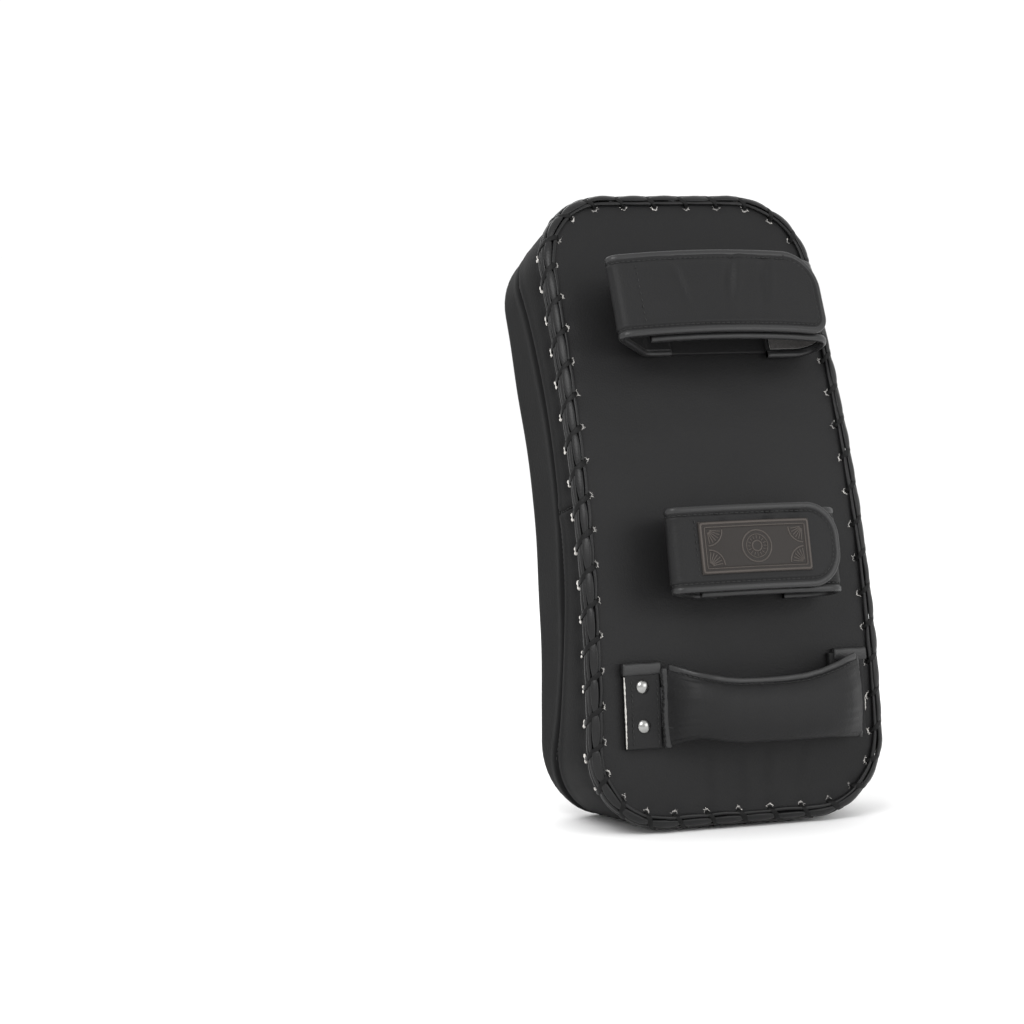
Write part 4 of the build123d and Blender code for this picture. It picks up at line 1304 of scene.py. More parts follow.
def to_rim(strap, path, along):
    """Distance from the flap's outline."""
    radius = np.where(along < 0, strap.low_radius, strap.high_radius)
    past = path[:, :1] - (strap.tip - radius)
    beside = abs(along) - (strap.width / 2 - radius)
    in_corner = (past > 0) & (beside > 0)
    to_edges = np.minimum(radius - past, radius - beside)
    return np.where(in_corner, radius - np.hypot(past, beside), to_edges)


def sewn_groove(distance):
    """The row of stitches draws the leather in, and the leather stands up beside it."""
    groove = -0.85 * MM * bell(distance - SEWN_IN, 0.75 * MM)
    return groove + 0.3 * MM * bell(distance - SEWN_IN - 1.8 * MM, 1.1 * MM)


CREASES = ((0.5, 1.9, 0.26), (0.68, 1.3, 0.2), (0.27, 0.9, -0.2))  # part of the flap, size, lean


def creases(strap, path, along, seed):
    """Soft dents and swelling of a strap's outer face."""
    x = path[:, :1] + 0 * along
    over = np.clip((path[:, 1:] - FLAP_LEVEL * 0.8) / (4 * MM), 0, 1)
    h = 0.3 * MM * wobble(x, along, 0.03, seed) + 0.12 * MM * wobble(x, along, 0.009, seed + 1)
    width = strap.tip - strap.hinge
    for part, size, lean in CREASES:
        line = x - (strap.hinge + part * width) - lean * along
        h -= size * MM * bell(line, 3.4 * MM) * bell(along - 8 * MM, 15 * MM) * over
        h += 0.4 * size * MM * bell(line - 5 * MM, 3.5 * MM) * bell(along - 8 * MM, 17 * MM) * over
    return h


print("points across a strap:", len(ACROSS))

# %% [markdown]
# A slab closes the two faces of a strap. A rounded slab lies on the pad itself, with eased upper edges,
# for the leather under the straps and for the stacked ends of the handle.

# %% Slabs


def slab(strap, path, along, sign, inner, outer):
    """A closed strap piece between two distances from its route."""
    normal = outwards_of(path, sign)
    grids = []
    for height in (outer, inner):
        flat = path[:, None] + normal[:, None] * (height + 0 * along)[..., None]
        grids.append(strap.place(flat[..., 0], flat[..., 1], along))
    return closed_sheet(*grids) if sign > 0 else closed_sheet(grids[1], grids[0])


def rounded_slab(x_range, s_range, height, edge, seed, dents=()):
    """A slab on the strap face with eased upper edges."""

    def spread(low, high, count):
        near = np.array([0.0, 0.12, 0.3, 0.55, 0.8, 1.0]) * edge
        inner = np.linspace(low + edge, high - edge, count)[1:-1]
        return np.concatenate([low + near, inner, high - near[::-1]])

    x, s = np.meshgrid(spread(*x_range, 26), spread(*s_range, 52))
    to_side = np.minimum(x - x_range[0], x_range[1] - x)
    border = np.minimum(to_side, np.minimum(s - s_range[0], s_range[1] - s))
    rise = np.sqrt(np.clip(1 - (1 - np.clip(border / edge, 0, 1)) ** 2, 0, 1))
    top = height - edge * (1 - rise) + 0.12 * MM * wobble(x, s, 0.008, seed)
    for dent_x, dent_s in dents:
        top -= 0.45 * MM * bell(np.hypot(x - dent_x, s - dent_s), 6.5 * MM)
    return closed_sheet(on_pad(x, s, top), on_pad(x, s, 0.1 * MM + 0 * x))


print("drawn with:", slab.__name__, rounded_slab.__name__)

# %% [markdown]
# The edges are bound: a thin strip is folded round them, proud of the leather on both faces, and sewn
# down along its inner edge. Both the strip and its stitches follow the outline moved inwards, so one
# helper gives that line and two others lay a tube or a row of stitches along it.

# %% Bindings and edge stitches


def flap_rim(strap, inset):
    """The flap's edge line moved inwards: one long edge, round the tip, and back along the other."""
    path = flap_places(strap)
    lines, reaches, normals = [], [], []
    for radius, way in ((strap.low_radius, -1), (strap.high_radius, 1)):
        turn = radius - inset
        straight = path[~((path[:, 0] > strap.tip - radius) & (path[:, 1] > FLAP_LEVEL))]
        angle = np.linspace(0, np.pi / 2, TIP_STEPS)
        tip_x = strap.tip - radius + turn * np.sin(angle)
        line = np.concatenate([straight, np.stack([tip_x, strap.crown(tip_x, FLAP_LEVEL)], axis=-1)])
        corner = strap.width / 2 - radius + turn * np.cos(angle)
        reach = np.concatenate([np.full(len(straight), strap.width / 2 - inset), corner])
        lines.append(line[::-way])
        reaches.append(way * reach[::-way])
        normals.append(outwards_of(line, -1)[::-way])
    return np.concatenate(lines), np.concatenate(reaches), np.concatenate(normals)


def long_rims(strap, path, inset):
    """The two long edge lines of the under strap."""
    for way in (-1, 1):
        reach = UNDER_SHIFT + way * (strap.width / 2 - inset)
        yield path, np.full(len(path), reach), outwards_of(path, 1)


def edge_tube(strap, path, along, normal, lift, half_side, half_up, power=0.75, ring=14):
    """A tube beside an edge line, lifted off the route."""
    flat = path + normal * lift
    line = strap.place(flat[:, 0], flat[:, 1], along)
    return tube(line, strap.out(normal), half_side, half_up, ring=ring, power=power)


def edge_stitches(strap, path, along, normal, lift, **looks):
    """Stitches along an edge line on the outer face."""
    flat = path + normal * lift
    line = strap.place(flat[:, 0], flat[:, 1], along)
    return stitches(line, strap.out(normal), **looks)


BOUND_MIDDLE = BOUND_WIDTH / 2 - BOUND_RISE
HALF_BOUND = STRAP_LEATHER / 2 + BOUND_RISE
STITCH_LOOKS = {"pitch": 3.4 * MM, "length": 2.3 * MM, "radius": 0.4 * MM}


def bind_and_sew(strap, rims_at):
    """Binding tubes and stitches along the lines that rims_at gives for an inset."""
    bound, sewn = [], []
    for line, reach, normal in rims_at(BOUND_MIDDLE):
        middle = STRAP_LEATHER / 2
        bound.append(edge_tube(strap, line, reach, normal, middle, BOUND_WIDTH / 2, HALF_BOUND))
    for line, reach, normal in rims_at(SEWN_IN):
        lift = STRAP_LEATHER - 0.2 * MM
        sewn += edge_stitches(strap, line, reach, normal, lift, **STITCH_LOOKS)
    return bound, sewn


print("binding", round(BOUND_WIDTH / MM, 1), "mm wide")

# %% [markdown]
# The outer leather is the root and the flap in one piece, as it is cut. The root stays with the pad and
# the flap turns; here the leather, its binding and its stitches are each made as one piece that rides on
# no body. A second row of stitches crosses the strap just past the fold.

# %% Outer leather, binding and stitches


def blend_at_hinge(strap, made):
    """Bakes a piece's transform into its mesh; the places where the root ends and the flap starts are
    worked out but not used.
    """
    x = strap.hinge - 6 * MM
    height = float(strap.crown(x, FLAP_LEVEL))
    start_at, end_at = on_pad(x, strap.s, height), on_pad(x + 3.5 * MM, strap.s, height + 7 * MM)
    tuple(start_at)
    tuple(end_at)
    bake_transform(made)


def cross_stitches(strap, path, count=60):
    """The row of stitches across the strap, just past the fold."""
    x = strap.hinge + 9 * MM
    spot = np.tile([[x, float(strap.crown(x, FLAP_LEVEL))]], (count, 1))
    nearest = np.argmin(abs(path[:, 0] - x) + (path[:, 1] < FLAP_LEVEL))
    up = np.tile(outwards_of(path, -1)[nearest], (count, 1))
    reach = np.linspace(-1, 1, count) * (strap.width / 2 - 7 * MM)
    lift = STRAP_LEATHER + 0.75 * MM
    return edge_stitches(strap, spot, reach, up, lift, pitch=4.2 * MM, length=2.0 * MM)


def dress_outer(strap, seed):
    """The root and flap of one strap, with their binding and stitches."""
    on_flap = strap.name + "_flap"
    path = flap_places(strap)
    along = flap_grid(strap, path)
    from_rim = to_rim(strap, path, along)
    ease = np.clip(from_rim / (6 * MM), 0, 1)
    swell = (0.7 * MM + creases(strap, path, along, seed)) * ease
    outer = slab(strap, path, along, -1, 0.0, STRAP_LEATHER + swell + sewn_groove(from_rim))
    name = strap.name + "_outer_leather"
    flap = piece(name, [outer], face_leather, "leather", None, on_flap + "_root", on_flap)
    bound, sewn = bind_and_sew(strap, lambda inset: [flap_rim(strap, inset)])
    name = on_flap + "_edge_binding"
    binding = piece(name, bound, highlit_bound_leather, "binding", None, on_flap + "_binding")
    sewn += cross_stitches(strap, path)
    threads = piece(on_flap + "_stitches", sewn, thread, "binding", None)
    for made in (flap, binding, threads):
        blend_at_hinge(strap, made)


print("outer pieces of a strap: leather, binding, stitches")

# %% [markdown]
# Under the straps lies a flat leather, sewn to the pad. The under strap rises from it at the other side
# and carries the loop tape. Its two long edges are bound, and its inner face has a brushed lining.

# %% Base, under strap and lining


def dress_base(strap, seed):
    """The flat leather that both feet of a strap are sewn to."""
    ends = (strap.root_low + 1.5 * MM, strap.under_side - 0.5 * MM)
    reach = strap.width / 2 - 1.2 * MM
    patch = rounded_slab(ends, (strap.s - reach, strap.s + reach), 2.0 * MM, 0.8 * MM, seed)
    name = strap.name + "_base_leather"
    piece(name, [patch], face_leather, "leather", "pad", strap.name + "_base_patch")


def dress_under(strap, seed):
    """The under strap with its bindings and stitches."""
    name, path = strap.name, under_route(strap)
    along = ACROSS * strap.width / 2 + np.zeros((len(path), 1))
    from_rim = strap.width / 2 - abs(along)
    swell = 0.25 * MM * (1 + wobble(path[:, :1], along, 0.02, seed))
    swell = swell * np.clip(from_rim / (6 * MM), 0, 1)
    outer = STRAP_LEATHER + swell + sewn_groove(from_rim)
    under = [slab(strap, path, along + UNDER_SHIFT, 1, 0.0, outer)]
    strap_piece = piece(
        name + "_under_leather", under, face_leather, "leather", "pad", name + "_under_strap"
    )
    bound, sewn = bind_and_sew(strap, lambda inset: long_rims(strap, path, inset))
    bindings = name + "_strap_bindings"
    piece(name + "_under_edge_binding", bound, highlit_bound_leather, "binding", "pad", bindings)
    piece(name + "_under_stitches", sewn, thread, "binding", "pad")


def dress_lining(strap, seed):
    """The brushed lining of the under strap."""
    path = under_route(strap)
    half = strap.width / 2 - BOUND_WIDTH
    along = UNDER_SHIFT + ACROSS * half + np.zeros((len(path) - 5, 1))
    lining_path = path[2:-3] - outwards_of(path, 1)[2:-3] * 0.5 * MM
    fuzz = 0.12 * MM * wobble(lining_path[:, :1], along, 0.008, seed)
    sheet = slab(strap, lining_path, along, 1, -0.5 * MM + fuzz, 0.5 * MM)
    name = strap.name + "_brushed_lining"
    lining = piece(name, [sheet], brushed, "lining", "pad", strap.name + "_lining")


for strap, seed in ((forearm, 61), (wrist, 71)):
    dress_outer(strap, seed)
    dress_base(strap, seed + 3)
    dress_under(strap, seed + 5)
    dress_lining(strap, seed + 9)

# %% [markdown]
# The grip is a padded tube of leather on a webbing core. Its sections are given at a few places from the
# middle outwards, for each half on its own, since the right half is longer and stands higher over its
# rivets. Smooth curves join them. Where the tube is gathered into its ends it puckers, so fine folds fade
# in towards both ends.

# %% The grip's sections
HANDLE_X, HANDLE_S = 4.0 * MM, 74.5 * MM
GRIP_HALF, LEFT_STRETCH, RIGHT_STRETCH = 58.5 * MM, 0.932, 1.25
# Distances from the grip's middle, and the section's height, droop, tallness and thickness there.
STATIONS = MM * np.array([0.0, 14.0, 25.0, 34.0, 42.0, 47.0, 51.5, 56.0, 58.5])
LEFT_HEIGHT = MM * np.array([24.5, 24.5, 24.1, 23.2, 21.0, 18.2, 14.0, 8.0, 5.4])
RIGHT_HEIGHT = MM * np.array([24.5, 24.5, 24.3, 23.6, 22.0, 20.2, 17.6, 14.4, 12.2])
LEFT_DROOP = MM * np.array([7.2, 6.8, 5.6, 4.0, 2.6, 2.0, 1.8, 1.6, 1.6])
LEFT_TALL = MM * np.array([36.6, 36.6, 36.6, 36.8, 37.6, 39.2, 42.5, 46.5, 47.5])
RIGHT_DROOP = MM * np.array([7.2, 7.0, 6.6, 5.6, 4.4, 3.4, 2.6, 2.0, 1.6])
RIGHT_TALL = MM * np.array([36.6, 36.8, 37.8, 39.8, 42.8, 44.8, 46.8, 48.6, 49.4])
GRIP_THICK = MM * np.array([20.0, 20.0, 20.0, 19.2, 17.5, 15.2, 12.0, 8.4, 6.4])
grip_parts = (np.linspace(-58.5, -40, 40), np.linspace(-39, 39, 60), np.linspace(40, 58.5, 40))
grip_x = np.concatenate(grip_parts) * MM


def eased(x, left, right):
    """Values at x from the stations of both halves, relaxed so that no station shows as a kink."""
    fine = np.linspace(-GRIP_HALF, GRIP_HALF, 469)
    table = np.interp(abs(fine), STATIONS, right)
    table[fine < 0] = np.interp(-fine[fine < 0], STATIONS, left)
    for _ in range(60):
        table[1:-1] = (table[:-2] + 2 * table[1:-1] + table[2:]) / 4
    return np.interp(x, fine, table)


grip_h = eased(grip_x, LEFT_HEIGHT, RIGHT_HEIGHT)
grip_drop = eased(grip_x, LEFT_DROOP, RIGHT_DROOP)
grip_tall = eased(grip_x, LEFT_TALL, RIGHT_TALL)
grip_thick = eased(grip_x, GRIP_THICK, GRIP_THICK)
grip_across = grip_x * np.where(grip_x < 0, LEFT_STRETCH, RIGHT_STRETCH)
grip_run = unit(np.stack([np.gradient(grip_across), np.gradient(grip_h)], axis=-1))
handle_up, handle_out = along_face(HANDLE_S), out_of_face(HANDLE_S)
grip_centre = on_pad(HANDLE_X + grip_across, HANDLE_S, grip_h) - grip_drop[:, None] * handle_up
grip_side = -grip_run[:, 1:] * ACROSS_PAD + grip_run[:, :1] * handle_out
print("grip runs from x", round(grip_across[0] / MM, 1), "to", round(grip_across[-1] / MM, 1), "mm")

# %% [markdown]
# The section itself is a slightly squared oval. Folds at three rhythms run along it near its ends, which
# never look regular together. The core is the same surface, shrunk, and stops short of both ends.

# %% The grip's leather and its core


def grip_surface(angle, grow=0.0):
    """Points of the grip at angles round its section; angle 0 is towards the wrist strap."""
    angle = np.asarray(angle)[None, :]
    near_end = np.clip((abs(grip_x) - 36 * MM) / (22 * MM), 0, 1)[:, None]
    folds = np.sin(angle * 17 + 2.2 * np.sin(angle * 3)) + 0.6 * np.sin(angle * 29 + 1.3)
    along = np.sin(near_end * np.pi * 0.93)
    pucker = 0.42 * MM * folds * along * near_end
    soft = 0.35 * MM * wobble(grip_x[:, None], angle * 12 * MM, 0.016, 91)
    soft = soft + 0.1 * MM * wobble(grip_x[:, None], angle * 12 * MM, 0.006, 92)
    swell = grow + pucker + soft
    c, s = np.cos(angle), np.sin(angle)
    tall = (grip_tall[:, None] / 2 + swell) * np.sign(c) * abs(c) ** 0.88
    thick = (grip_thick[:, None] / 2 + swell) * np.sign(s) * abs(s) ** 0.92
    return grip_centre[:, None] + tall[..., None] * handle_up + thick[..., None] * grip_side[:, None]


around_grip = np.linspace(0, 2 * np.pi, 96, endpoint=False)
grip_skin = [closed_ends(grip_surface(around_grip))]
grip = piece("grip_leather", grip_skin, face_leather, "leather", "pad", "handle_grip")
core_rings = grip_surface(around_grip, -2.6 * MM)[14:-14]
grip_core = piece("grip_core", [closed_ends(core_rings)], foam, "foam", "pad", "handle_padding")

# %% [markdown]
# The tube's leather meets along the side that faces the wrist strap, where it is turned out and sewn as a
# ridge. Across each end a rolled fold is sewn down over the gathered leather.

# %% Welt, end folds and their stitches
inside = abs(grip_x) < 57.5 * MM
ridge = (grip_centre + (grip_tall[:, None] / 2 + 1.0 * MM) * handle_up)[inside]
ridge_wave = 0.16 * MM * wobble(grip_x[inside], 0 * grip_x[inside], 0.006, 93)
ridge_up = np.broadcast_to(handle_up, ridge.shape)
welt = [tube(ridge, ridge_up, 1.4 * MM + ridge_wave, 2.3 * MM, ring=14, power=0.8)]
piece("grip_seam_ridge", welt, highlit_bound_leather, "binding", "pad", "handle_welt")
sewn_part = abs(grip_x) < 53 * MM
seam_points = grip_surface(np.array([0.34]), 0.15 * MM)[:, 0][sewn_part]
seam_up = unit(seam_points - grip_centre[sewn_part])
handle_threads = stitches(seam_points, seam_up, pitch=3.6 * MM, length=2.7 * MM, radius=0.34 * MM)

end_folds = []
# side, place across, height, lower and upper end, half of the width: in millimetres
END_FOLDS = ((-1, -56.0, 5.6, -25.9, 22.6, 2.3), (1, 73.4, 10.9, -26.9, 23.7, 1.7))
for way, fold_x, fold_h, low, high, half_side in END_FOLDS:
    along = np.linspace(low, high, 60) * MM
    x = HANDLE_X + fold_x * MM + 0.35 * MM * np.sin(along / (5 * MM))
    middle_h = fold_h * MM + 0.5 * MM * np.cos(along / (24 * MM) * np.pi / 2)
    path = on_pad(x, HANDLE_S, middle_h) + along[:, None] * handle_up
    up = np.broadcast_to(handle_out, path.shape)
    pinch = 1 - 0.1 * np.cos(along / (3.7 * MM) * 2 * np.pi)
    half_up = 2.9 * MM * (0.95 + 0.05 * pinch)
    end_folds.append(tube(path, up, half_side * MM * pinch, half_up, ring=16, power=0.9))
    for offset in (-2.5 * MM, 2.7 * MM) if way < 0 else (-2.4 * MM,):
        height = fold_h * MM + (0.2 * MM if offset * way > 0 else 1.2 * MM)
        line = on_pad(x + offset * 0.86, HANDLE_S, height) + along[:, None] * handle_up
        looks = {"pitch": 3.7 * MM, "length": 2.6 * MM, "radius": 0.42 * MM}
        handle_threads += stitches(line[3:-3], up[3:-3], **looks)
piece("grip_end_folds", end_folds, highlit_bound_leather, "leather", "pad")

# %% [markdown]
# Each end of the handle is a stack of leather under two rivets: a slab with softened edges that dips
# round the rivets, with a row of stitches down each side.

# %% The handle's stacked ends
TAB_HEIGHT, TAB_HALF, TAB_OUTER = 5.0 * MM, 26.0 * MM, 82.3 * MM
RIVET_X, RIVET_STEP = 70.5 * MM, 12.0 * MM

for way, side_name in ((-1, "left"), (1, "right")):
    ends = sorted((HANDLE_X + way * TAB_OUTER, HANDLE_X + way * GRIP_HALF))
    rows_s = (HANDLE_S - TAB_HALF, HANDLE_S + TAB_HALF)
    dents = [(HANDLE_X + way * RIVET_X, HANDLE_S + step) for step in (-RIVET_STEP, RIVET_STEP)]
    tab = rounded_slab(ends, rows_s, TAB_HEIGHT, 1.1 * MM, 95 + way, dents)
    name = "handle_end_" + side_name
    piece(name, [tab], face_leather, "leather", "pad", "handle_tab_" + side_name)
    outer, inner = HANDLE_X + way * TAB_OUTER, HANDLE_X + way * 61.2 * MM
    along = np.linspace(-24.0, 16.5, 50) * MM
    for x in (outer - way * 4.3 * MM, inner - way * 0.2 * MM):
        line = on_pad(x, HANDLE_S + along, TAB_HEIGHT + 0.1 * MM)
        up = np.broadcast_to(handle_out, line.shape)
        handle_threads += stitches(line, up, pitch=3.6 * MM, length=2.4 * MM, radius=0.4 * MM)
piece("handle_stitches", handle_threads, thread, "binding", "pad")

# %% [markdown]
# A strip is folded over the upper edge of each end. At the cut outer edge the raw, undyed hide shows as
# a ragged pale line, all the way down on the left and only in a short stretch on the right.

# %% Folded strips and raw edges
RAW_POINTS = 90
folds, raw = [], []
# side, where the strip starts and ends across the pad, how high it lies: in millimetres
for way, fold_from, fold_to, fold_high in ((-1, 58.2, 83.1, 22.9), (1, 62.0, 84.0, 24.6)):
    x = HANDLE_X + way * np.linspace(fold_from, fold_to, 40) * MM
    fold_s = HANDLE_S + fold_high * MM + 0.12 * MM * np.sin(x / (2.3 * MM))
    path = on_pad(x, fold_s, 3.0 * MM)
    up = np.broadcast_to(handle_out, path.shape)
    folds.append(tube(path, up, 4.0 * MM, 3.15 * MM, ring=28, power=0.5))
    draw = np.random.default_rng(97 + way)
    along = np.linspace(*((-25.4, 18.4) if way < 0 else (-11.0, -3.0)), RAW_POINTS) * MM
    ragged = np.convolve(draw.uniform(0.35, 1.3, RAW_POINTS), np.ones(3) / 3, mode="same")
    x = HANDLE_X + way * (TAB_OUTER + 0.1 * MM * ragged)
    edge = on_pad(x, HANDLE_S + along, 3.7 * MM + 0.5 * MM * ragged)
    up = np.broadcast_to(handle_out, edge.shape)
    ease = np.sin(np.linspace(0.05, np.pi - 0.05, RAW_POINTS)) ** 0.25
    raw.append(tube(edge, up, 0.42 * MM * ragged * ease, 1.05 * MM * ragged * ease, ring=8))
print("folded strips", len(folds), "raw edges", len(raw))

# %% [markdown]
# A rivet is one turned profile: a shank, the sharp underside of its head, and a dome a little flatter
# than half a ball. The profile is spun in the strap face's own directions, so the rivet stands upright.

# %% Rivets
dome_turn = np.linspace(np.pi / 2, 0.02, 16)
dome_radius = np.concatenate([[1.7 * MM], [1.7 * MM], 4.5 * MM * np.sin(dome_turn)])
dome = TAB_HEIGHT - 0.6 * MM + 2.8 * MM * np.cos(dome_turn) ** 1.15
dome_height = np.concatenate([[-3.0 * MM], [TAB_HEIGHT - 0.7 * MM], dome])
rivets = []
rivet_turn = np.linspace(0, 2 * np.pi, 40, endpoint=False)
for rivet_x in (HANDLE_X - RIVET_X, HANDLE_X + RIVET_X):
    for step in (-RIVET_STEP, RIVET_STEP):
        centre = on_pad(rivet_x, HANDLE_S + step, dome_height)[:, None]
        ray = np.cos(rivet_turn)[:, None] * ACROSS_PAD + np.sin(rivet_turn)[:, None] * handle_up
        rivets.append(closed_ends(centre + dome_radius[:, None, None] * ray))
piece("handle_rivet_heads", rivets, nickel, "nickel", "pad", "handle_rivets")
piece("handle_end_folds", folds, highlit_bound_leather, "binding", "pad", "handle_tab_bindings")
piece("handle_raw_edges", raw, raw_hide, "leather", "pad")

# %% [markdown]
# The badge is a stamped leather plate with a raised border, a second fine line inside it, a plain fan in
# each corner and a plain round boss in its middle. It carries no letters and no picture. The raised lines
# are rubbed paler than the plate. All of it follows the flap's crown.

# %% The badge
BADGE_X, BADGE_SIZE = 1.0 * MM, (75.0 * MM, 32.5 * MM)
PLATE_BASE, PLATE_THICK, PLATE_TOP = 1.1 * MM, 0.75 * MM, 1.85 * MM  # over the flap's leather


def badge_relief(x, along):
    """Height of the badge's stamped pattern over its plate."""
    to_edge = np.minimum(BADGE_SIZE[0] / 2 - abs(x), BADGE_SIZE[1] / 2 - abs(along))
    return -0.35 * MM * np.clip((to_edge - 3.9 * MM) / (0.6 * MM), 0, 1)


badge_u, badge_v = np.linspace(-0.5, 0.5, 226), np.linspace(-0.5, 0.5, 110)
plate_x, plate_along = np.meshgrid(badge_u * BADGE_SIZE[0], badge_v * BADGE_SIZE[1])
flap_top = wrist.crown(plate_x + BADGE_X, FLAP_LEVEL + STRAP_LEATHER) + PLATE_BASE
edge_ease = np.minimum(0.5 - abs(badge_u)[None] + 0 * plate_x, 0.5 - abs(badge_v)[:, None] + 0 * plate_x)
plate_top = flap_top + PLATE_THICK + badge_relief(plate_x, plate_along)
plate_top = plate_top - 0.5 * MM * (edge_ease < 0.003)
front = wrist.place(plate_x + BADGE_X, plate_top, plate_along)
back = wrist.place(plate_x + BADGE_X, flap_top - PLATE_BASE, plate_along)
plate = [closed_sheet(front, back)]
piece("badge_plate", plate, badge_leather, "badge_leather", "wrist_flap", "wrist_badge")

# %% [markdown]
# The raised lines are thin tubes laid on the plate: two frames, a boss of rings and rays, and a fan in
# each corner. Real lines catch the light from every side, where a bump texture would look flat.

# %% The badge's relief


CORNER_WAYS = ((1, 1), (-1, 1), (-1, -1), (1, -1))


def badge_line(x, along, half_side, half_up, closed):
    """A raised line on the plate through places given from its middle."""
    x, along = np.asarray(x), np.asarray(along)
    level = wrist.crown(x + BADGE_X, FLAP_LEVEL + STRAP_LEATHER) + PLATE_TOP + badge_relief(x, along)
    path = wrist.place(x + BADGE_X, level, along)
    up = np.broadcast_to(out_of_face(wrist.s), path.shape)
    return tube(path, up, half_side, half_up, ring=8, closed=closed)


def frame_line(inset, radius):
    """A rounded rectangle moved inwards from the badge's edge."""
    half_x, half_y = BADGE_SIZE[0] / 2 - inset, BADGE_SIZE[1] / 2 - inset
    x, y = [], []
    for quarter, (way_x, way_y) in enumerate(CORNER_WAYS):
        angle = np.linspace(0, np.pi / 2, 7) + quarter * np.pi / 2
        x.append(way_x * (half_x - radius) + radius * np.cos(angle))
        y.append(way_y * (half_y - radius) + radius * np.sin(angle))
    x, y = np.append(np.concatenate(x), x[0][0]), np.append(np.concatenate(y), y[0][0])
    travel = np.concatenate([[0], np.cumsum(np.hypot(np.diff(x), np.diff(y)))])
    marks_on = np.linspace(0, travel[-1], 160)[:-1]
    return np.interp(marks_on, travel, x), np.interp(marks_on, travel, y)


relief = [badge_line(*frame_line(1.2 * MM, 1.0 * MM), 0.75 * MM, 0.55 * MM, True)]
relief.append(badge_line(*frame_line(3.5 * MM, 0.8 * MM), 0.35 * MM, 0.4 * MM, True))
circle = np.linspace(0, 2 * np.pi, 72, endpoint=False)
for radius, half_side in ((9.8, 0.5), (7.2, 0.35), (3.2, 0.5)):
    x, y = radius * MM * np.cos(circle), radius * MM * np.sin(circle)
    relief.append(badge_line(x, y, half_side * MM, 0.5 * MM, True))
for ray in np.linspace(0, 2 * np.pi, 16, endpoint=False):
    reach = np.linspace(4.2, 6.6, 5) * MM
    relief.append(badge_line(reach * math.cos(ray), reach * math.sin(ray), 0.32 * MM, 0.4 * MM, False))
for way_x, way_y in CORNER_WAYS:
    corner_x, corner_y = BADGE_SIZE[0] / 2 - 5.2 * MM, BADGE_SIZE[1] / 2 - 5.2 * MM
    for ray in np.linspace(0.08, 0.92, 6) * np.pi / 2:
        reach = np.linspace(1.5, 8.6, 9) * MM
        x, y = corner_x - reach * math.cos(ray), corner_y - reach * math.sin(ray)
        relief.append(badge_line(way_x * x, way_y * y, 0.38 * MM, 0.45 * MM, False))
    sweep = np.linspace(0, np.pi / 2, 20)
    x, y = corner_x - 9.8 * MM * np.cos(sweep), corner_y - 9.8 * MM * np.sin(sweep)
    relief.append(badge_line(way_x * x, way_y * y, 0.45 * MM, 0.5 * MM, False))
piece("badge_relief", relief, badge_edges, "badge_leather", "wrist_flap")

# %% [markdown]
# The stage is plain: a pale floor whose edge is far away, a bright even world and three large soft lamps,
# one high on the left, a weak one lower in front and a weak one behind. Matte black leather needs wide
# light, or only its highlights show.

# %% Floor and world
FLOOR_REACH, FLOOR_GAP = 40, 0.0002
floor_mesh = bpy.data.meshes.new("floor")
corners = [(x * FLOOR_REACH, y * FLOOR_REACH) for x, y in ((-1, -1), (1, -1), (1, 1), (-1, 1))]
floor_mesh.from_pydata([(x, y, cad_low[2] - FLOOR_GAP) for x, y in corners], [], [(0, 1, 2, 3)])
floor = bpy.data.objects.new("floor", floor_mesh)
bpy.context.scene.collection.objects.link(floor)
paper, paper_tree, paper_shader = new_material("pale_paper")
set_sockets(paper_shader, Roughness=0.75, Specular_IOR_Level=0.25)
paper_place = node(paper_tree, "ShaderNodeTexCoord")
paper_cloud = node(paper_tree, "ShaderNodeTexNoise", Scale=1.3, Detail=3.0)
paper_tone = node(paper_tree, "ShaderNodeValToRGB")
for stop, grey in zip(paper_tone.color_ramp.elements, (0.93, 0.95)):
    stop.color = (grey, grey, grey, 1.0)
paper_tree.links.new(paper_place.outputs["Object"], paper_cloud.inputs["Vector"])
paper_tree.links.new(paper_cloud.outputs["Fac"], paper_tone.inputs["Fac"])
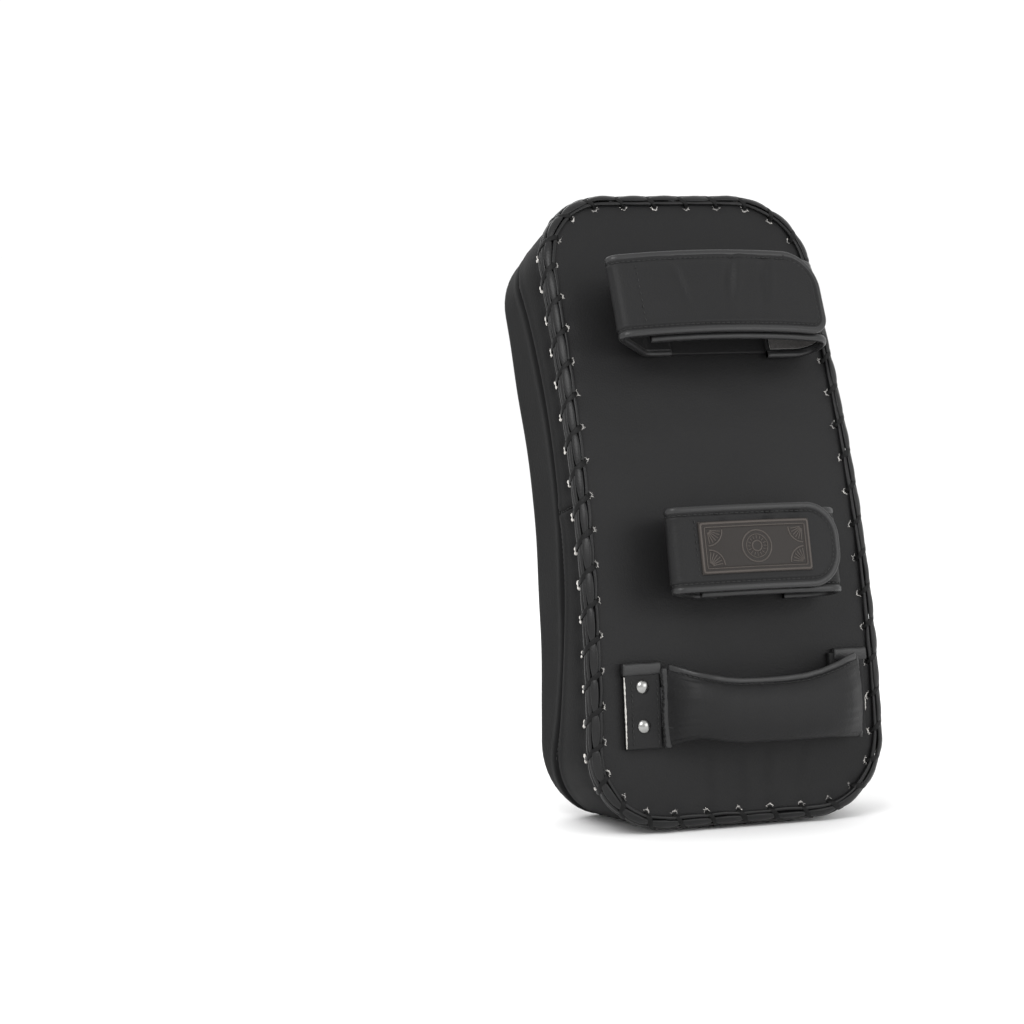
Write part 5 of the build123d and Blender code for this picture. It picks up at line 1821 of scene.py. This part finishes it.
paper_tree.links.new(paper_tone.outputs["Color"], paper_shader.inputs["Base Color"])
floor.data.materials.append(paper)
floor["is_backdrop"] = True

world = bpy.data.worlds.new("studio")
world.use_nodes = True
set_sockets(world.node_tree.nodes["Background"], Color=(1.0, 1.0, 1.0, 1.0), Strength=1.08)
bpy.context.scene.world = world
print("floor at", round(cad_low[2] - FLOOR_GAP, 4))

# %% [markdown]
# Each lamp is a rectangle that looks at the pad's middle. The larger it is, the softer its shadow.

# %% Lamps


def lamp(name, place, target, size, power):
    """A large soft lamp that looks at a point."""
    light = bpy.data.lights.new(name, "AREA")
    light.shape, light.size, light.size_y, light.energy = "RECTANGLE", size[0], size[1], power
    made = bpy.data.objects.new(name, light)
    made.location = place
    made.rotation_euler = (Vector(target) - Vector(place)).to_track_quat("-Z", "Y").to_euler()
    bpy.context.scene.collection.objects.link(made)


middle = (0.0, 0.0, 0.2)
lamp("key", (-1.1, -1.2, 1.5), middle, (1.0, 1.0), 22)
lamp("fill", (0.9, -1.5, 0.7), middle, (1.2, 0.9), 8)
lamp("rim", (-0.2, 1.3, 1.3), middle, (1.4, 0.7), 8)
print("lamps:", [light.name for light in bpy.data.lights])

# %% [markdown]
# The camera stands 2.2 m away, a little above the pad and 22 degrees to its left, as for a catalogue,
# with a long lens, to show the strap face and the laced wall together without strong perspective. The pad
# stands right of the middle of the frame, since it is one of a pair.

# %% Camera
camera_data = bpy.data.cameras.new("camera")
camera_data.sensor_width, camera_data.lens = 36.0, 123.0
camera = bpy.data.objects.new("camera", camera_data)
camera.location = (-0.9512, -2.0066, 0.3751)
camera.rotation_euler = [math.radians(angle) for angle in (85.274, 0.375, -22.491)]
bpy.context.scene.collection.objects.link(camera)
bpy.context.scene.camera = camera
bpy.context.scene.view_settings.view_transform = "Standard"
print("camera", tuple(round(value, 3) for value in camera.location))

# %% Sizes and finish
seen_low, seen_high = [list(corner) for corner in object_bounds()]
print("visual box", [round(a, 4) for a in seen_low], [round(a, 4) for a in seen_high])
